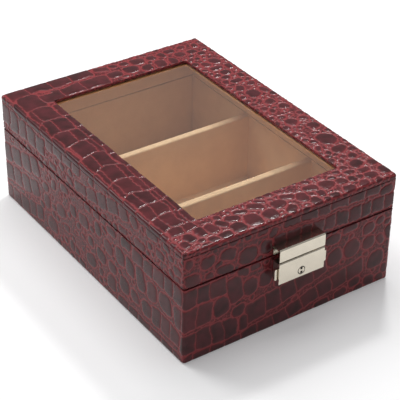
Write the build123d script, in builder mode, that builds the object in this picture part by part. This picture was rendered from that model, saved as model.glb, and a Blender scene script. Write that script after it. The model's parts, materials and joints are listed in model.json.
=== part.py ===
"""Eyewear storage box: a leather-covered case with a hinged, glazed lid.

Millimetres. +Z is up, X runs along the lock side, and the lock faces -Y.
The origin is the centre of the underside.
"""
from build123d import *
import os
from math import cos, radians, sin

os.makedirs("parts", exist_ok=True)

# Outside of the box
box_w = 180.0
box_l = 252.0
box_h = 91.0
rim_z = 62.0
seam_gap = 0.3
corner_r = 2.2

# Boards, leather, suede cards and the cloth underneath
leather_t = 0.8
leather_edge = 0.5
board_ease = 0.8
turn_under = 10.0
wall_t = 7.5
floor_t = 3.5
frame_t = 3.6
cover_t = 0.8
cover_inset = 2.0
card_t = 1.0
card_drop = 0.6

# Window in the lid
border_w = 30.0
window_r = 2.0
window_ease = 1.6
top_edge_r = 2.0
top_board_ease = 0.7
window_edge = 0.7
glass_t = 1.5
glass_bearing = 6.0
glass_side_clear = 0.3
glass_face_clear = 0.05
liner_t = 1.8
liner_edge = 0.4
liner_clear = 0.2

# Dividers
compartments = 3
divider_board_t = 4.0
divider_drop = 0.5
sleeve_t = 1.0
sleeve_r = 1.3

# Hinges
hinge_inset = 40.0
hinge_l = 30.0
leaf_w = 7.1
leaf_gap = 0.1
leaf_clear = 0.3
knuckle_r = 1.8
knuckle_off = 0.4
knuckle_gap = 0.2
lid_knuckle_l = 13.0
pin_r = 0.8
pin_clear = 0.05
stop_angle = 100.0
stop_slack = 1.0
stop_clear = 0.5
stop_reach = 2.8
stop_t = 0.9
stop_root = 0.8

# Screws
neck_r = 1.0
shank_r = 0.9
shank_sides = 6
screw_clear = 0.05
hinge_screw_l = 8.0
hinge_head_drop = 0.05
hinge_screw_x = 9.0
hinge_screw_in = 4.0
lock_screw_l = 6.5
lock_head_r = 1.8
lock_head_t = 0.9
lock_screw_x = 15.5
hasp_screw_x = 11.0

# Lock plates, seen from the front
lock_x = 1.5
lock_w = 38.8
lock_proud = 8.0
sheet_t = 0.8
plate_drop = 19.4
plate_h = 16.9
plate_gap = 1.35
hasp_h = 9.8
hasp_flange_up = 0.9
bend_r = 1.2
lip_l = 1.9

# Lock case and the guide for the bolt
case_inset = 0.8
case_below = 0.4
case_above = 1.3
slot_clear = 0.15
guide_w = 1.2

# Slide bar
bar_t = 1.6
bar_h = 8.8
bar_up = 3.6
bar_setback = 0.7
tab_reach = 2.6
tab_r = 0.8
slide_travel = 2.2
nose_w = 2.0
nose_h = 1.8
nose_depth = 2.0
nose_gap = 0.3

# Hasp tongue
latch_gap = 0.6
tongue_t = 1.2
tongue_w = 26.0
tongue_up = 1.6
prong_w = 5.0
prong_drop = 10.65
prong_r = 0.8
hook_h = 2.0
notch_w = 2.4
notch_clear = 0.2

# Key cylinder
key_up = 4.9
key_r = 3.0
key_face_r = 2.7
key_clear = 0.05
key_seat = 0.05
key_face_sunk = 0.2
key_slot_w = 1.7
key_slot_h = 4.4
key_slot_depth = 1.6
key_post_r = 0.9
key_bevel = 0.6
barrel_wall = 0.5
barrel_clear = 0.3
crank_r = 1.4
crank_pin_r = 0.6
crank_clear = 0.1
key_turn = 90.0

# Lock bolt and the comb that it locks
bolt_half_w = 3.6
bolt_below = 2.8
bolt_above = 1.6
bolt_clear = 0.1
tooth_w = 1.1
tooth_gap = 0.4
tooth_clear = 0.15
comb_t = 1.7
comb_side = 1.3
comb_slack = 0.3
comb_top_gap = 0.1

# Leaf spring that keeps the slide from drifting
spring_t = 0.2
spring_l = 18.0
spring_h = 2.2
spring_up = 9.9
spring_clear = 0.05

# Heights worked out from the sizes above
floor_z = cover_t + leather_t
lining_z = floor_z + floor_t
inside_z = lining_z + card_t
wall_top = rim_z - leather_t
lid_rim_z = rim_z + seam_gap
lid_wall_z = lid_rim_z + leather_t
frame_z = box_h - leather_t - frame_t
liner_z = frame_z - liner_t
hinge_z = rim_z + seam_gap / 2

# Widths worked out from the sizes above
board_w = box_w - 2 * leather_t
board_l = box_l - 2 * leather_t
hollow_w = board_w - 2 * wall_t
hollow_l = board_l - 2 * wall_t
lined_w = hollow_w - 2 * card_t
lined_l = hollow_l - 2 * card_t
window_w = box_w - 2 * border_w
window_l = box_l - 2 * border_w
front_y = -box_l / 2
back_y = box_l / 2

# Places of the lock, from the front plate back to the case
plate_z = rim_z - plate_drop
plate_top = plate_z + plate_h
hasp_z = plate_top + plate_gap
hasp_top = hasp_z + hasp_h
plate_y = front_y - lock_proud
plate_back = plate_y + sheet_t
bar_y = plate_back + bar_setback
bar_back = bar_y + bar_t
tongue_y = bar_back + latch_gap
tongue_back = tongue_y + tongue_t
case_face_y = front_y - sheet_t
key_z = plate_z + key_up

# Places of the hinges
hinge_x = box_w / 2 - hinge_inset
hinge_y = back_y + knuckle_off + knuckle_r
leaf_t = leather_t + (seam_gap - leaf_gap) / 2
hinge_head_t = leaf_t - hinge_head_drop
hinge_head_r = neck_r + hinge_head_t
hinge_places = {"left": -hinge_x, "right": hinge_x}


def save(piece, name):
    """Label one finished piece and write it."""
    piece.part.label = name
    export_step(piece.part, f"parts/{name}.step")


# Screw places: planes that look along each screw, out of its head
def leaf_screw_planes(centre, z, up):
    """The two screws of one hinge leaf; up is 1 for the lid's leaf."""
    return [
        Plane(
            origin=(centre + side * hinge_screw_x, back_y - hinge_screw_in, z),
            z_dir=(0, 0, -up),
        )
        for side in (-1, 1)
    ]


def hinge_screw_planes(z, up):
    """The screws of both leaves on the case or on the lid."""
    return [
        plane
        for centre in hinge_places.values()
        for plane in leaf_screw_planes(centre, z, up)
    ]


def lock_screw_planes(y):
    """The two screws of the lock case."""
    z = (plate_z + plate_top) / 2
    return [
        Plane(origin=(lock_x + side * lock_screw_x, y, z), z_dir=(0, -1, 0))
        for side in (-1, 1)
    ]


def hasp_screw_planes(y):
    """The two screws of the hasp plate."""
    z = (hasp_z + hasp_top - sheet_t) / 2
    return [
        Plane(origin=(lock_x + side * hasp_screw_x, y, z), z_dir=(0, -1, 0))
        for side in (-1, 1)
    ]


def shank_holes(planes, depth):
    """Holes of this depth behind each plane, six-sided like the shanks."""
    with BuildPart() as holes:
        with BuildSketch(*planes):
            RegularPolygon(shank_r + screw_clear, shank_sides)
        extrude(amount=-depth)
    return holes


# The outline that the boards share
def board_block(low, high):
    """A block as wide and long as the boards, with its corners eased."""
    with BuildPart() as block:
        with BuildSketch(Plane.XY.offset(low)):
            Rectangle(board_w, board_l)
        extrude(amount=high - low)
        chamfer(block.edges().filter_by(Axis.Z), board_ease)
    return block


# Wall boards of the case and the lid
def wall_board(name, side, low, high, holes=(), hole_l=0.0):
    """One wall board; side is front, back, left or right."""
    full_width = side in ("front", "back")
    sign = 1 if side in ("back", "right") else -1
    width = board_w if full_width else wall_t
    length = wall_t if full_width else hollow_l
    x = 0 if full_width else sign * (board_w - wall_t) / 2
    y = sign * (board_l - wall_t) / 2 if full_width else 0
    with BuildPart() as wall:
        with BuildSketch(Plane.XY.offset(low)):
            with Locations((x, y)):
                Rectangle(width, length)
        extrude(amount=high - low)
        if full_width:
            corners = wall.edges().filter_by(Axis.Z).group_by(Axis.Y)
            chamfer(corners[-1] if sign > 0 else corners[0], board_ease)
        if holes:
            add(shank_holes(holes, hole_l).part, mode=Mode.SUBTRACT)
    save(wall, name)


hinge_hole_l = hinge_screw_l + hinge_head_drop - leaf_t + screw_clear
lock_hole_l = lock_screw_l - sheet_t - leather_t + screw_clear
board_face_y = front_y + leather_t
wall_board(
    "base_front_wall",
    "front",
    lining_z,
    wall_top,
    lock_screw_planes(board_face_y),
    lock_hole_l,
)
wall_board(
    "base_back_wall",
    "back",
    lining_z,
    wall_top,
    hinge_screw_planes(wall_top, -1),
    hinge_hole_l,
)
wall_board("base_left_wall", "left", lining_z, wall_top)
wall_board("base_right_wall", "right", lining_z, wall_top)
wall_board(
    "lid_front_wall",
    "front",
    lid_wall_z,
    frame_z,
    hasp_screw_planes(board_face_y),
    lock_hole_l,
)
wall_board(
    "lid_back_wall",
    "back",
    lid_wall_z,
    frame_z,
    hinge_screw_planes(lid_wall_z, 1),
    hinge_hole_l,
)
wall_board("lid_left_wall", "left", lid_wall_z, frame_z)
wall_board("lid_right_wall", "right", lid_wall_z, frame_z)

# Floor board and the cloth under it
floor_board = board_block(floor_z, floor_z + floor_t)
save(floor_board, "base_floor_board")

with BuildPart() as bottom_cover:
    with BuildSketch():
        Rectangle(box_w - 2 * cover_inset, box_l - 2 * cover_inset)
    extrude(amount=cover_t)
    chamfer(bottom_cover.edges().filter_by(Axis.Z), board_ease)
save(bottom_cover, "base_bottom_cover")

# Room for the hinge leaves, cut out of the leather on both rims
with BuildPart() as leaf_room:
    with BuildSketch(Plane.XY.offset(wall_top)):
        for centre in hinge_places.values():
            with Locations((centre, back_y - leaf_w / 2)):
                Rectangle(hinge_l + 2 * leaf_clear, leaf_w + 2 * leaf_clear)
    extrude(amount=lid_wall_z - wall_top)

# Leather over the case: up the sides, over the rim and under the floor
with BuildPart() as base_leather:
    with BuildSketch(Plane.XY.offset(cover_t)):
        RectangleRounded(box_w, box_l, corner_r)
    extrude(amount=rim_z - cover_t)
    levels = base_leather.edges().group_by(Axis.Z)
    chamfer(levels[0] + levels[-1], leather_edge)
    add(board_block(floor_z, wall_top).part, mode=Mode.SUBTRACT)
    with BuildSketch(Plane.XY.offset(wall_top)):
        Rectangle(hollow_w, hollow_l)
    extrude(amount=leather_t, mode=Mode.SUBTRACT)
    with BuildSketch(Plane.XY.offset(cover_t)):
        Rectangle(board_w - 2 * turn_under, board_l - 2 * turn_under)
    extrude(amount=leather_t, mode=Mode.SUBTRACT)
    add(leaf_room.part, mode=Mode.SUBTRACT)
    add(shank_holes(lock_screw_planes(front_y), leather_t).part, mode=Mode.SUBTRACT)
save(base_leather, "base_leather")

# Leather round the lid: over the walls and under their rim
with BuildPart() as lid_side_leather:
    with BuildSketch(Plane.XY.offset(lid_rim_z)):
        RectangleRounded(box_w, box_l, corner_r)
    extrude(amount=frame_z - lid_rim_z)
    levels = lid_side_leather.edges().group_by(Axis.Z)
    chamfer(levels[0] + levels[-1], leather_edge)
    add(board_block(lid_wall_z, frame_z).part, mode=Mode.SUBTRACT)
    with BuildSketch(Plane.XY.offset(lid_rim_z)):
        Rectangle(hollow_w, hollow_l)
    extrude(amount=leather_t, mode=Mode.SUBTRACT)
    add(leaf_room.part, mode=Mode.SUBTRACT)
    add(shank_holes(hasp_screw_planes(front_y), leather_t).part, mode=Mode.SUBTRACT)
save(lid_side_leather, "lid_side_leather")

# Top frame board, rebated from below for the glass
rebate_w = window_w + 2 * (glass_bearing + glass_side_clear)
rebate_l = window_l + 2 * (glass_bearing + glass_side_clear)
rebate_d = glass_t + 2 * glass_face_clear
with BuildPart() as frame_blank:
    add(board_block(frame_z, frame_z + frame_t).part)
    chamfer(frame_blank.edges().group_by(Axis.Z)[-1], top_board_ease)
    with BuildSketch(Plane.XY.offset(frame_z)) as board_window:
        Rectangle(window_w + 2 * leather_t, window_l + 2 * leather_t)
        chamfer(board_window.vertices(), window_ease)
    extrude(amount=frame_t, mode=Mode.SUBTRACT)

with BuildPart() as frame_board:
    add(frame_blank.part)
    with BuildSketch(Plane.XY.offset(frame_z)):
        Rectangle(rebate_w, rebate_l)
    extrude(amount=rebate_d, mode=Mode.SUBTRACT)
save(frame_board, "lid_frame_board")

# Leather over the top frame, down its outer edge and into the window
with BuildPart() as lid_top_leather:
    with BuildSketch(Plane.XY.offset(frame_z)):
        RectangleRounded(box_w, box_l, corner_r)
    extrude(amount=box_h - frame_z)
    levels = lid_top_leather.edges().group_by(Axis.Z)
    fillet(levels[-1], top_edge_r)
    levels = lid_top_leather.edges().group_by(Axis.Z)
    chamfer(levels[0], leather_edge)
    with BuildSketch(Plane.XY.offset(frame_z)):
        RectangleRounded(window_w, window_l, window_r)
    extrude(amount=box_h - frame_z, mode=Mode.SUBTRACT)
    top_face = lid_top_leather.faces().sort_by(Axis.Z)[-1]
    chamfer(top_face.inner_wires()[0].edges(), window_edge)
    add(frame_blank.part, mode=Mode.SUBTRACT)
    with BuildSketch(Plane.XY.offset(frame_z)):
        Rectangle(rebate_w, rebate_l)
    extrude(amount=rebate_d, mode=Mode.SUBTRACT)
save(lid_top_leather, "lid_top_leather")

# Glass pane and the suede-covered frame that holds it up
with BuildPart() as window_glass:
    with BuildSketch(Plane.XY.offset(frame_z + glass_face_clear)):
        Rectangle(window_w + 2 * glass_bearing, window_l + 2 * glass_bearing)
    extrude(amount=glass_t)
save(window_glass, "window_glass")

with BuildPart() as window_liner:
    with BuildSketch(Plane.XY.offset(liner_z)):
        Rectangle(hollow_w - 2 * liner_clear, hollow_l - 2 * liner_clear)
        RectangleRounded(window_w, window_l, window_r, mode=Mode.SUBTRACT)
    extrude(amount=liner_t)
    low_face = window_liner.faces().sort_by(Axis.Z)[0]
    chamfer(low_face.inner_wires()[0].edges(), liner_edge)
save(window_liner, "window_liner_frame")


# Suede cards inside the case and the lid
def lining_card(half, side, low, high):
    """One upright card; the front and back cards run the full width."""
    full_width = side in ("front", "back")
    sign = 1 if side in ("back", "right") else -1
    width = hollow_w if full_width else card_t
    length = card_t if full_width else lined_l
    x = 0 if full_width else sign * (hollow_w - card_t) / 2
    y = sign * (hollow_l - card_t) / 2 if full_width else 0
    with BuildPart() as card:
        with BuildSketch(Plane.XY.offset(low)):
            with Locations((x, y)):
                Rectangle(width, length)
        extrude(amount=high - low)
    save(card, f"{half}_{side}_lining")


for side in ("front", "back", "left", "right"):
    lining_card("base", side, inside_z, rim_z - card_drop)
    lining_card("lid", side, lid_rim_z + card_drop, liner_z)

with BuildPart() as floor_lining:
    with BuildSketch(Plane.XY.offset(lining_z)):
        Rectangle(hollow_w, hollow_l)
    extrude(amount=card_t)
save(floor_lining, "base_floor_lining")

# Dividers: each a board in a folded suede sleeve
divider_t = divider_board_t + 2 * sleeve_t
divider_h = rim_z - divider_drop - inside_z
cell_l = (lined_l - (compartments - 1) * divider_t) / compartments
for number in range(1, compartments):
    divider_y = number * (cell_l + divider_t) - (lined_l + divider_t) / 2
    with BuildPart() as board:
        with BuildSketch(Plane.XY.offset(inside_z)):
            with Locations((0, divider_y)):
                Rectangle(lined_w, divider_board_t)
        extrude(amount=divider_h - sleeve_t)
    save(board, f"divider_{number}_board")

    with BuildPart() as sleeve:
        with BuildSketch(Plane.XY.offset(inside_z)):
            with Locations((0, divider_y)):
                Rectangle(lined_w, divider_t)
        extrude(amount=divider_h)
        top_edges = sleeve.edges().filter_by(Axis.X).group_by(Axis.Z)[-1]
        fillet(top_edges, sleeve_r)
        add(board.part, mode=Mode.SUBTRACT)
    save(sleeve, f"divider_{number}_sleeve")

# Hinge sizes worked out from the sizes above
side_knuckle_l = (hinge_l - lid_knuckle_l) / 2 - knuckle_gap
side_knuckle_x = (hinge_l - side_knuckle_l) / 2
leaf_inner_y = back_y - leaf_w
leaf_outer_y = hinge_y - knuckle_r - leaf_clear
stop_inner = knuckle_r - stop_root
stop_outer = knuckle_r + stop_clear
stop_half = radians((stop_angle + stop_slack) / 2)


def stop_corners(near, far, up):
    """Corners of a stop flange between two radii from the hinge axis."""
    out_y = cos(stop_half)
    out_z = up * sin(stop_half)
    side_y = -sin(stop_half) * stop_t
    side_z = up * cos(stop_half) * stop_t
    return [
        (hinge_y + near * out_y, hinge_z + near * out_z),
        (hinge_y + far * out_y, hinge_z + far * out_z),
        (hinge_y + far * out_y + side_y, hinge_z + far * out_z + side_z),
        (hinge_y + near * out_y + side_y, hinge_z + near * out_z + side_z),
    ]


def hinge_leaf(name, centre, up):
    """A leaf with its knuckles and its stop flange; up is 1 for the lid."""
    knuckles = [(0.0, lid_knuckle_l)]
    if up < 0:
        knuckles = [(-side_knuckle_x, side_knuckle_l), (side_knuckle_x, side_knuckle_l)]
    leaf_face = hinge_z + up * leaf_gap / 2
    with BuildPart() as leaf:
        with BuildSketch(Plane.XY.offset(leaf_face)):
            with Locations((centre, leaf_inner_y)):
                Rectangle(
                    hinge_l,
                    leaf_outer_y - leaf_inner_y,
                    align=(Align.CENTER, Align.MIN),
                )
            for shift, length in knuckles:
                with Locations((centre + shift, leaf_inner_y)):
                    Rectangle(
                        length,
                        hinge_y - leaf_inner_y,
                        align=(Align.CENTER, Align.MIN),
                    )
        extrude(amount=up * leaf_t)
        with BuildSketch(Plane.YZ.offset(centre - hinge_l / 2)):
            Polygon(*stop_corners(stop_outer, stop_outer + stop_reach, up), align=None)
        extrude(amount=hinge_l)
        for shift, length in knuckles:
            with BuildSketch(Plane.YZ.offset(centre + shift - length / 2)):
                with Locations((hinge_y, hinge_z)):
                    Circle(knuckle_r)
                Polygon(*stop_corners(stop_inner, stop_outer + stop_root, up), align=None)
            extrude(amount=length)
        with BuildSketch(Plane.YZ.offset(centre - hinge_l / 2)):
            with Locations((hinge_y, hinge_z)):
                Circle(pin_r + pin_clear)
        extrude(amount=hinge_l, mode=Mode.SUBTRACT)
        with Locations(*leaf_screw_planes(centre, leaf_face, up)):
            Cone(
                neck_r + screw_clear,
                neck_r + screw_clear + leaf_t,
                leaf_t,
                align=(Align.CENTER, Align.CENTER, Align.MAX),
                mode=Mode.SUBTRACT,
            )
    save(leaf, name)


for side, centre in hinge_places.items():
    hinge_leaf(f"{side}_hinge_base_leaf", centre, -1)
    hinge_leaf(f"{side}_hinge_lid_leaf", centre, 1)
    with BuildPart() as hinge_pin:
        with BuildSketch(Plane.YZ.offset(centre - hinge_l / 2)):
            with Locations((hinge_y, hinge_z)):
                Circle(pin_r)
        extrude(amount=hinge_l)
    save(hinge_pin, f"{side}_hinge_pin")


# Screws: round heads on plain six-sided shanks
def flat_screws(name, planes):
    """Flat-headed screws, set a little below each plane."""
    faces = [plane.offset(-hinge_head_drop) for plane in planes]
    with BuildPart() as screws:
        with Locations(*faces):
            Cone(
                neck_r,
                hinge_head_r,
                hinge_head_t,
                align=(Align.CENTER, Align.CENTER, Align.MAX),
            )
        with BuildSketch(*faces):
            RegularPolygon(shank_r, shank_sides)
        extrude(amount=-hinge_screw_l)
    save(screws, name)


def cheese_screws(name, planes):
    """Cheese-headed screws with the head on each plane."""
    with BuildPart() as screws:
        with BuildSketch(*planes):
            Circle(lock_head_r)
        extrude(amount=lock_head_t)
        with BuildSketch(*planes):
            RegularPolygon(shank_r, shank_sides)
        extrude(amount=-lock_screw_l)
    save(screws, name)


flat_screws("hinge_base_screws", hinge_screw_planes(hinge_z - leaf_gap / 2, -1))
flat_screws("hinge_lid_screws", hinge_screw_planes(hinge_z + leaf_gap / 2, 1))
cheese_screws("lock_screws", lock_screw_planes(case_face_y))
cheese_screws("hasp_screws", hasp_screw_planes(case_face_y))

# Lock case: a folded tray with slots for the slide and a guide for the bolt
case_w = lock_w - 2 * case_inset
case_z = plate_z + case_below
case_h = plate_h - case_below - case_above
pad_y = tongue_back + bolt_clear
with BuildPart() as lock_case:
    with BuildSketch(Plane.XZ.offset(-front_y)):
        with Locations((lock_x, case_z)):
            Rectangle(case_w, case_h, align=(Align.CENTER, Align.MIN))
    extrude(amount=front_y - plate_back)
    with BuildSketch(Plane.XZ.offset(-case_face_y)):
        with Locations((lock_x, case_z + sheet_t)):
            Rectangle(case_w - 2 * sheet_t, case_h, align=(Align.CENTER, Align.MIN))
    extrude(amount=front_y - plate_back, mode=Mode.SUBTRACT)
    with BuildSketch(Plane.YZ.offset(lock_x - lock_w / 2)):
        with Locations((bar_y - slot_clear, plate_z + bar_up - slot_clear)):
            Rectangle(
                bar_t + 2 * slot_clear,
                bar_h + 2 * slot_clear,
                align=(Align.MIN, Align.MIN),
            )
    extrude(amount=lock_w, mode=Mode.SUBTRACT)
    with BuildSketch(Plane.XZ.offset(-case_face_y)):
        with Locations((lock_x, key_z - bolt_below)):
            Rectangle(
                2 * (bolt_half_w + bolt_clear + guide_w),
                bolt_below + bolt_above,
                align=(Align.CENTER, Align.MIN),
            )
    extrude(amount=case_face_y - tongue_y)
    with BuildSketch(Plane.XZ.offset(-pad_y)):
        with Locations((lock_x, key_z - bolt_below)):
            Rectangle(
                2 * (bolt_half_w + bolt_clear),
                bolt_below + bolt_above,
                align=(Align.CENTER, Align.MIN),
            )
    extrude(amount=pad_y - tongue_y, mode=Mode.SUBTRACT)
    add(shank_holes(lock_screw_planes(case_face_y), sheet_t).part, mode=Mode.SUBTRACT)
save(lock_case, "lock_case")


def bent_sheet(low, high, depth):
    """A sheet that stands at the front and is bent back along its top."""
    with BuildPart() as sheet:
        with BuildSketch(Plane.YZ.offset(lock_x - lock_w / 2)):
            with BuildLine():
                Line((plate_y, low), (plate_y, high - bend_r))
                TangentArc(
                    (plate_y, high - bend_r),
                    (plate_y + bend_r, high),
                    tangent=(0, 1),
                )
                Polyline(
                    (plate_y + bend_r, high),
                    (plate_y + depth, high),
                    (plate_y + depth, high - sheet_t),
                    (plate_y + bend_r, high - sheet_t),
                )
                TangentArc(
                    (plate_y + bend_r, high - sheet_t),
                    (plate_back, high - bend_r),
                    tangent=(-1, 0),
                )
                Polyline(
                    (plate_back, high - bend_r),
                    (plate_back, low),
                    (plate_y, low),
                )
            make_face()
        extrude(amount=lock_w)
    return sheet


# Front plate with the barrel that the key cylinder turns in
barrel_r = key_r + key_clear + barrel_wall
barrel_end_y = tongue_y - bolt_clear
key_plane = Plane((lock_x, plate_y, key_z), x_dir=(1, 0, 0), z_dir=(0, 1, 0))
plate_sheet = bent_sheet(plate_z, plate_top, lip_l)
with BuildPart() as front_plate:
    add(plate_sheet.part)
    with BuildSketch(key_plane.offset(sheet_t)):
        Circle(barrel_r)
    extrude(amount=barrel_end_y - plate_back)
    with BuildSketch(key_plane.offset(sheet_t)):
        Circle(key_r + key_clear)
    extrude(amount=barrel_end_y - plate_back, mode=Mode.SUBTRACT)
    with BuildSketch(key_plane):
        Circle(key_face_r + key_clear)
    extrude(amount=sheet_t, mode=Mode.SUBTRACT)
    front_face = front_plate.faces().sort_by(Axis.Y)[0]
    chamfer(front_face.edges().filter_by(GeomType.CIRCLE), key_bevel)
save(front_plate, "lock_front_plate")

# Slide bar: its two tabs, its latch noses and the comb that the bolt locks
bar_z = plate_z + bar_up
arch_top = key_z + barrel_r + barrel_clear
arch_w = 2 * (barrel_r + barrel_clear) + slide_travel
notch_z = hasp_z - prong_drop + hook_h
prong_edges = (lock_x - tongue_w / 2, lock_x + tongue_w / 2 - prong_w)
comb_h = bar_z + bar_h - comb_top_gap - arch_top
comb_notch_w = tooth_w + 2 * tooth_clear
comb_w = comb_notch_w + slide_travel + 2 * comb_side
tooth_top = arch_top - tooth_gap
crank_lift = 2 * crank_r * sin(radians(key_turn / 2))
with BuildPart() as lock_slide:
    with BuildSketch(Plane.XZ.offset(-bar_back)) as bar_outline:
        with Locations((lock_x, bar_z)):
            Rectangle(lock_w + 2 * tab_reach, bar_h, align=(Align.CENTER, Align.MIN))
        fillet(bar_outline.vertices(), tab_r)
        with Locations((lock_x - slide_travel / 2, bar_z)):
            Rectangle(
                arch_w,
                arch_top - bar_z,
                align=(Align.CENTER, Align.MIN),
                mode=Mode.SUBTRACT,
            )
    extrude(amount=bar_t)
    with BuildSketch(Plane.XZ.offset(-bar_back)):
        for prong_x in prong_edges:
            with Locations((prong_x - nose_gap, notch_z + notch_clear)):
                Rectangle(nose_w, nose_h, align=(Align.MAX, Align.MIN))
    extrude(amount=-nose_depth)
    with BuildSketch(Plane.XZ.offset(-bar_back)):
        with Locations((lock_x - slide_travel / 2, arch_top)):
            Rectangle(comb_w, comb_h, align=(Align.CENTER, Align.MIN))
        with Locations((lock_x, arch_top), (lock_x - slide_travel, arch_top)):
            Rectangle(
                comb_notch_w,
                crank_lift - tooth_gap + comb_slack,
                align=(Align.CENTER, Align.MIN),
                mode=Mode.SUBTRACT,
            )
    extrude(amount=-comb_t)
save(lock_slide, "lock_slide")

# Key cylinder: a face with its slot and post, a body and a crank pin
crank_x = crank_r * cos(radians(key_turn / 2))
crank_z = key_z - crank_r * sin(radians(key_turn / 2))
with BuildPart() as key_cylinder:
    with BuildSketch(key_plane.offset(key_face_sunk)):
        Circle(key_face_r)
    extrude(amount=sheet_t + key_seat - key_face_sunk)
    with BuildSketch(key_plane.offset(sheet_t + key_seat)):
        Circle(key_r)
    extrude(amount=barrel_end_y - plate_back - key_seat)
    with BuildSketch(key_plane.offset(key_face_sunk)):
        SlotOverall(key_slot_h, key_slot_w, rotation=90)
        Circle(key_post_r, mode=Mode.SUBTRACT)
    extrude(amount=key_slot_depth, mode=Mode.SUBTRACT)
    with BuildSketch(Plane.XZ.offset(-barrel_end_y)):
        with Locations((lock_x + crank_x, crank_z)):
            Circle(crank_pin_r)
    extrude(amount=-tongue_t)
save(key_cylinder, "key_cylinder")

# Lock bolt: the crank pin lifts its tooth into the comb of the slide
crank_slot_half = crank_pin_r + crank_clear
crank_slot_w = crank_r - crank_x + 2 * crank_slot_half
with BuildPart() as lock_bolt:
    with BuildSketch(Plane.XZ.offset(-tongue_y)):
        with Locations((lock_x, key_z - bolt_below)):
            Rectangle(
                2 * bolt_half_w,
                bolt_below + bolt_above,
                align=(Align.CENTER, Align.MIN),
            )
        with Locations((lock_x, key_z)):
            Rectangle(tooth_w, tooth_top - key_z, align=(Align.CENTER, Align.MIN))
        with Locations((lock_x + crank_x - crank_slot_half, crank_z)):
            Rectangle(
                crank_slot_w,
                2 * crank_slot_half,
                align=(Align.MIN, Align.CENTER),
                mode=Mode.SUBTRACT,
            )
    extrude(amount=-tongue_t)
save(lock_bolt, "lock_bolt")

# Leaf spring: bowed against the front plate, its ends on the slide
with BuildPart() as slide_spring:
    with BuildSketch(Plane.XY.offset(plate_z + spring_up)):
        left_x = lock_x - spring_l / 2
        right_x = lock_x + spring_l / 2
        end_y = bar_y - spring_clear
        crown_y = plate_back + spring_clear
        with BuildLine():
            ThreePointArc(
                (left_x, end_y),
                (lock_x, crown_y + spring_t),
                (right_x, end_y),
            )
            Line((right_x, end_y), (right_x, end_y - spring_t))
            ThreePointArc(
                (right_x, end_y - spring_t),
                (lock_x, crown_y),
                (left_x, end_y - spring_t),
            )
            Line((left_x, end_y - spring_t), (left_x, end_y))
        make_face()
    extrude(amount=spring_h)
save(slide_spring, "slide_leaf_spring")

# Hasp plate: front, top and back flange of one bent sheet
hasp_sheet = bent_sheet(hasp_z, hasp_top, lock_proud)
with BuildPart() as hasp_plate:
    add(hasp_sheet.part)
    with BuildSketch(Plane.XZ.offset(-front_y)):
        with Locations((lock_x, hasp_top)):
            Rectangle(
                lock_w,
                hasp_top - lid_rim_z - hasp_flange_up,
                align=(Align.CENTER, Align.MAX),
            )
    extrude(amount=sheet_t)
    add(shank_holes(hasp_screw_planes(case_face_y), sheet_t).part, mode=Mode.SUBTRACT)
save(hasp_plate, "hasp_plate")

# Hasp tongue: two prongs with notches that the noses of the slide enter
with BuildPart() as hasp_tongue:
    with BuildSketch(Plane.XZ.offset(-tongue_back)):
        with Locations((lock_x, hasp_top - sheet_t)):
            Rectangle(
                tongue_w,
                hasp_h - sheet_t - tongue_up,
                align=(Align.CENTER, Align.MAX),
            )
        for prong_x in prong_edges:
            with Locations((prong_x, hasp_z - prong_drop)):
                Rectangle(
                    prong_w,
                    prong_drop + tongue_up,
                    align=(Align.MIN, Align.MIN),
                )
            with Locations((prong_x, notch_z)):
                Rectangle(
                    notch_w,
                    nose_h + 2 * notch_clear,
                    align=(Align.MIN, Align.MIN),
                    mode=Mode.SUBTRACT,
                )
    extrude(amount=tongue_t)
    tips = hasp_tongue.edges().filter_by(Axis.Y).group_by(Axis.Z)[0]
    fillet(tips, prong_r)
save(hasp_tongue, "hasp_tongue")
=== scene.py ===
# %% [markdown]
# This script dresses an eyewear storage box. The case and its lid are thin
# boards under glossy scale-embossed leather. The lid has a glass window, the
# inside is lined with tan suede, two dividers make three compartments, and a
# nickel plate lock closes the front. The construction model gives every piece
# its place, so the script begins by loading it and measuring it.

# %% Load the construction model
import json
import math

import bpy
import numpy as np
from mathutils import Matrix, Vector


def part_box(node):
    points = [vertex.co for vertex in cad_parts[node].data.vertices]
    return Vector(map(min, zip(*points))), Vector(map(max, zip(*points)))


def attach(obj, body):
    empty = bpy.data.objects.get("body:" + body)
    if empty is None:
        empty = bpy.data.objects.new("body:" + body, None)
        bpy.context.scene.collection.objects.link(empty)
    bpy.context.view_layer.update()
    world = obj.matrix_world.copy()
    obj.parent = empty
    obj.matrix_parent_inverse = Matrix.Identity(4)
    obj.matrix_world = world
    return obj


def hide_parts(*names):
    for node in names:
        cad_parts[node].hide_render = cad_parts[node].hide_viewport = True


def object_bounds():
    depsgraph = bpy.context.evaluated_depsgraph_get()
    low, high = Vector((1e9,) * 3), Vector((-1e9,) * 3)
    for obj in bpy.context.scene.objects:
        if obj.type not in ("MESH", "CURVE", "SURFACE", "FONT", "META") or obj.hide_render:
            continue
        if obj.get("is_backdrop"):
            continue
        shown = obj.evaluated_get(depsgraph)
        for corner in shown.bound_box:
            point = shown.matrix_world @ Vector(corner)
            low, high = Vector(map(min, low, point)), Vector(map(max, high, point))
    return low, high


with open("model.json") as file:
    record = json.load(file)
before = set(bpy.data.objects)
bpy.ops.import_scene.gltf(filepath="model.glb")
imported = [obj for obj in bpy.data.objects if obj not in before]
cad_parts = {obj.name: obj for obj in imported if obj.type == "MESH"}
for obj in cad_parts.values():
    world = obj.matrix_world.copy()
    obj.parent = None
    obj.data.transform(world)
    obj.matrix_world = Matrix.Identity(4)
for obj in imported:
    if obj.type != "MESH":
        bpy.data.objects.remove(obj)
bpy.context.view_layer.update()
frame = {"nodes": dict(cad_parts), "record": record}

MM = 0.001


def corners_mm(node):
    """Lowest and highest corner of a node in millimetres."""
    return tuple(np.round(np.array(corner) / MM, 3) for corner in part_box(node))


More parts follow.
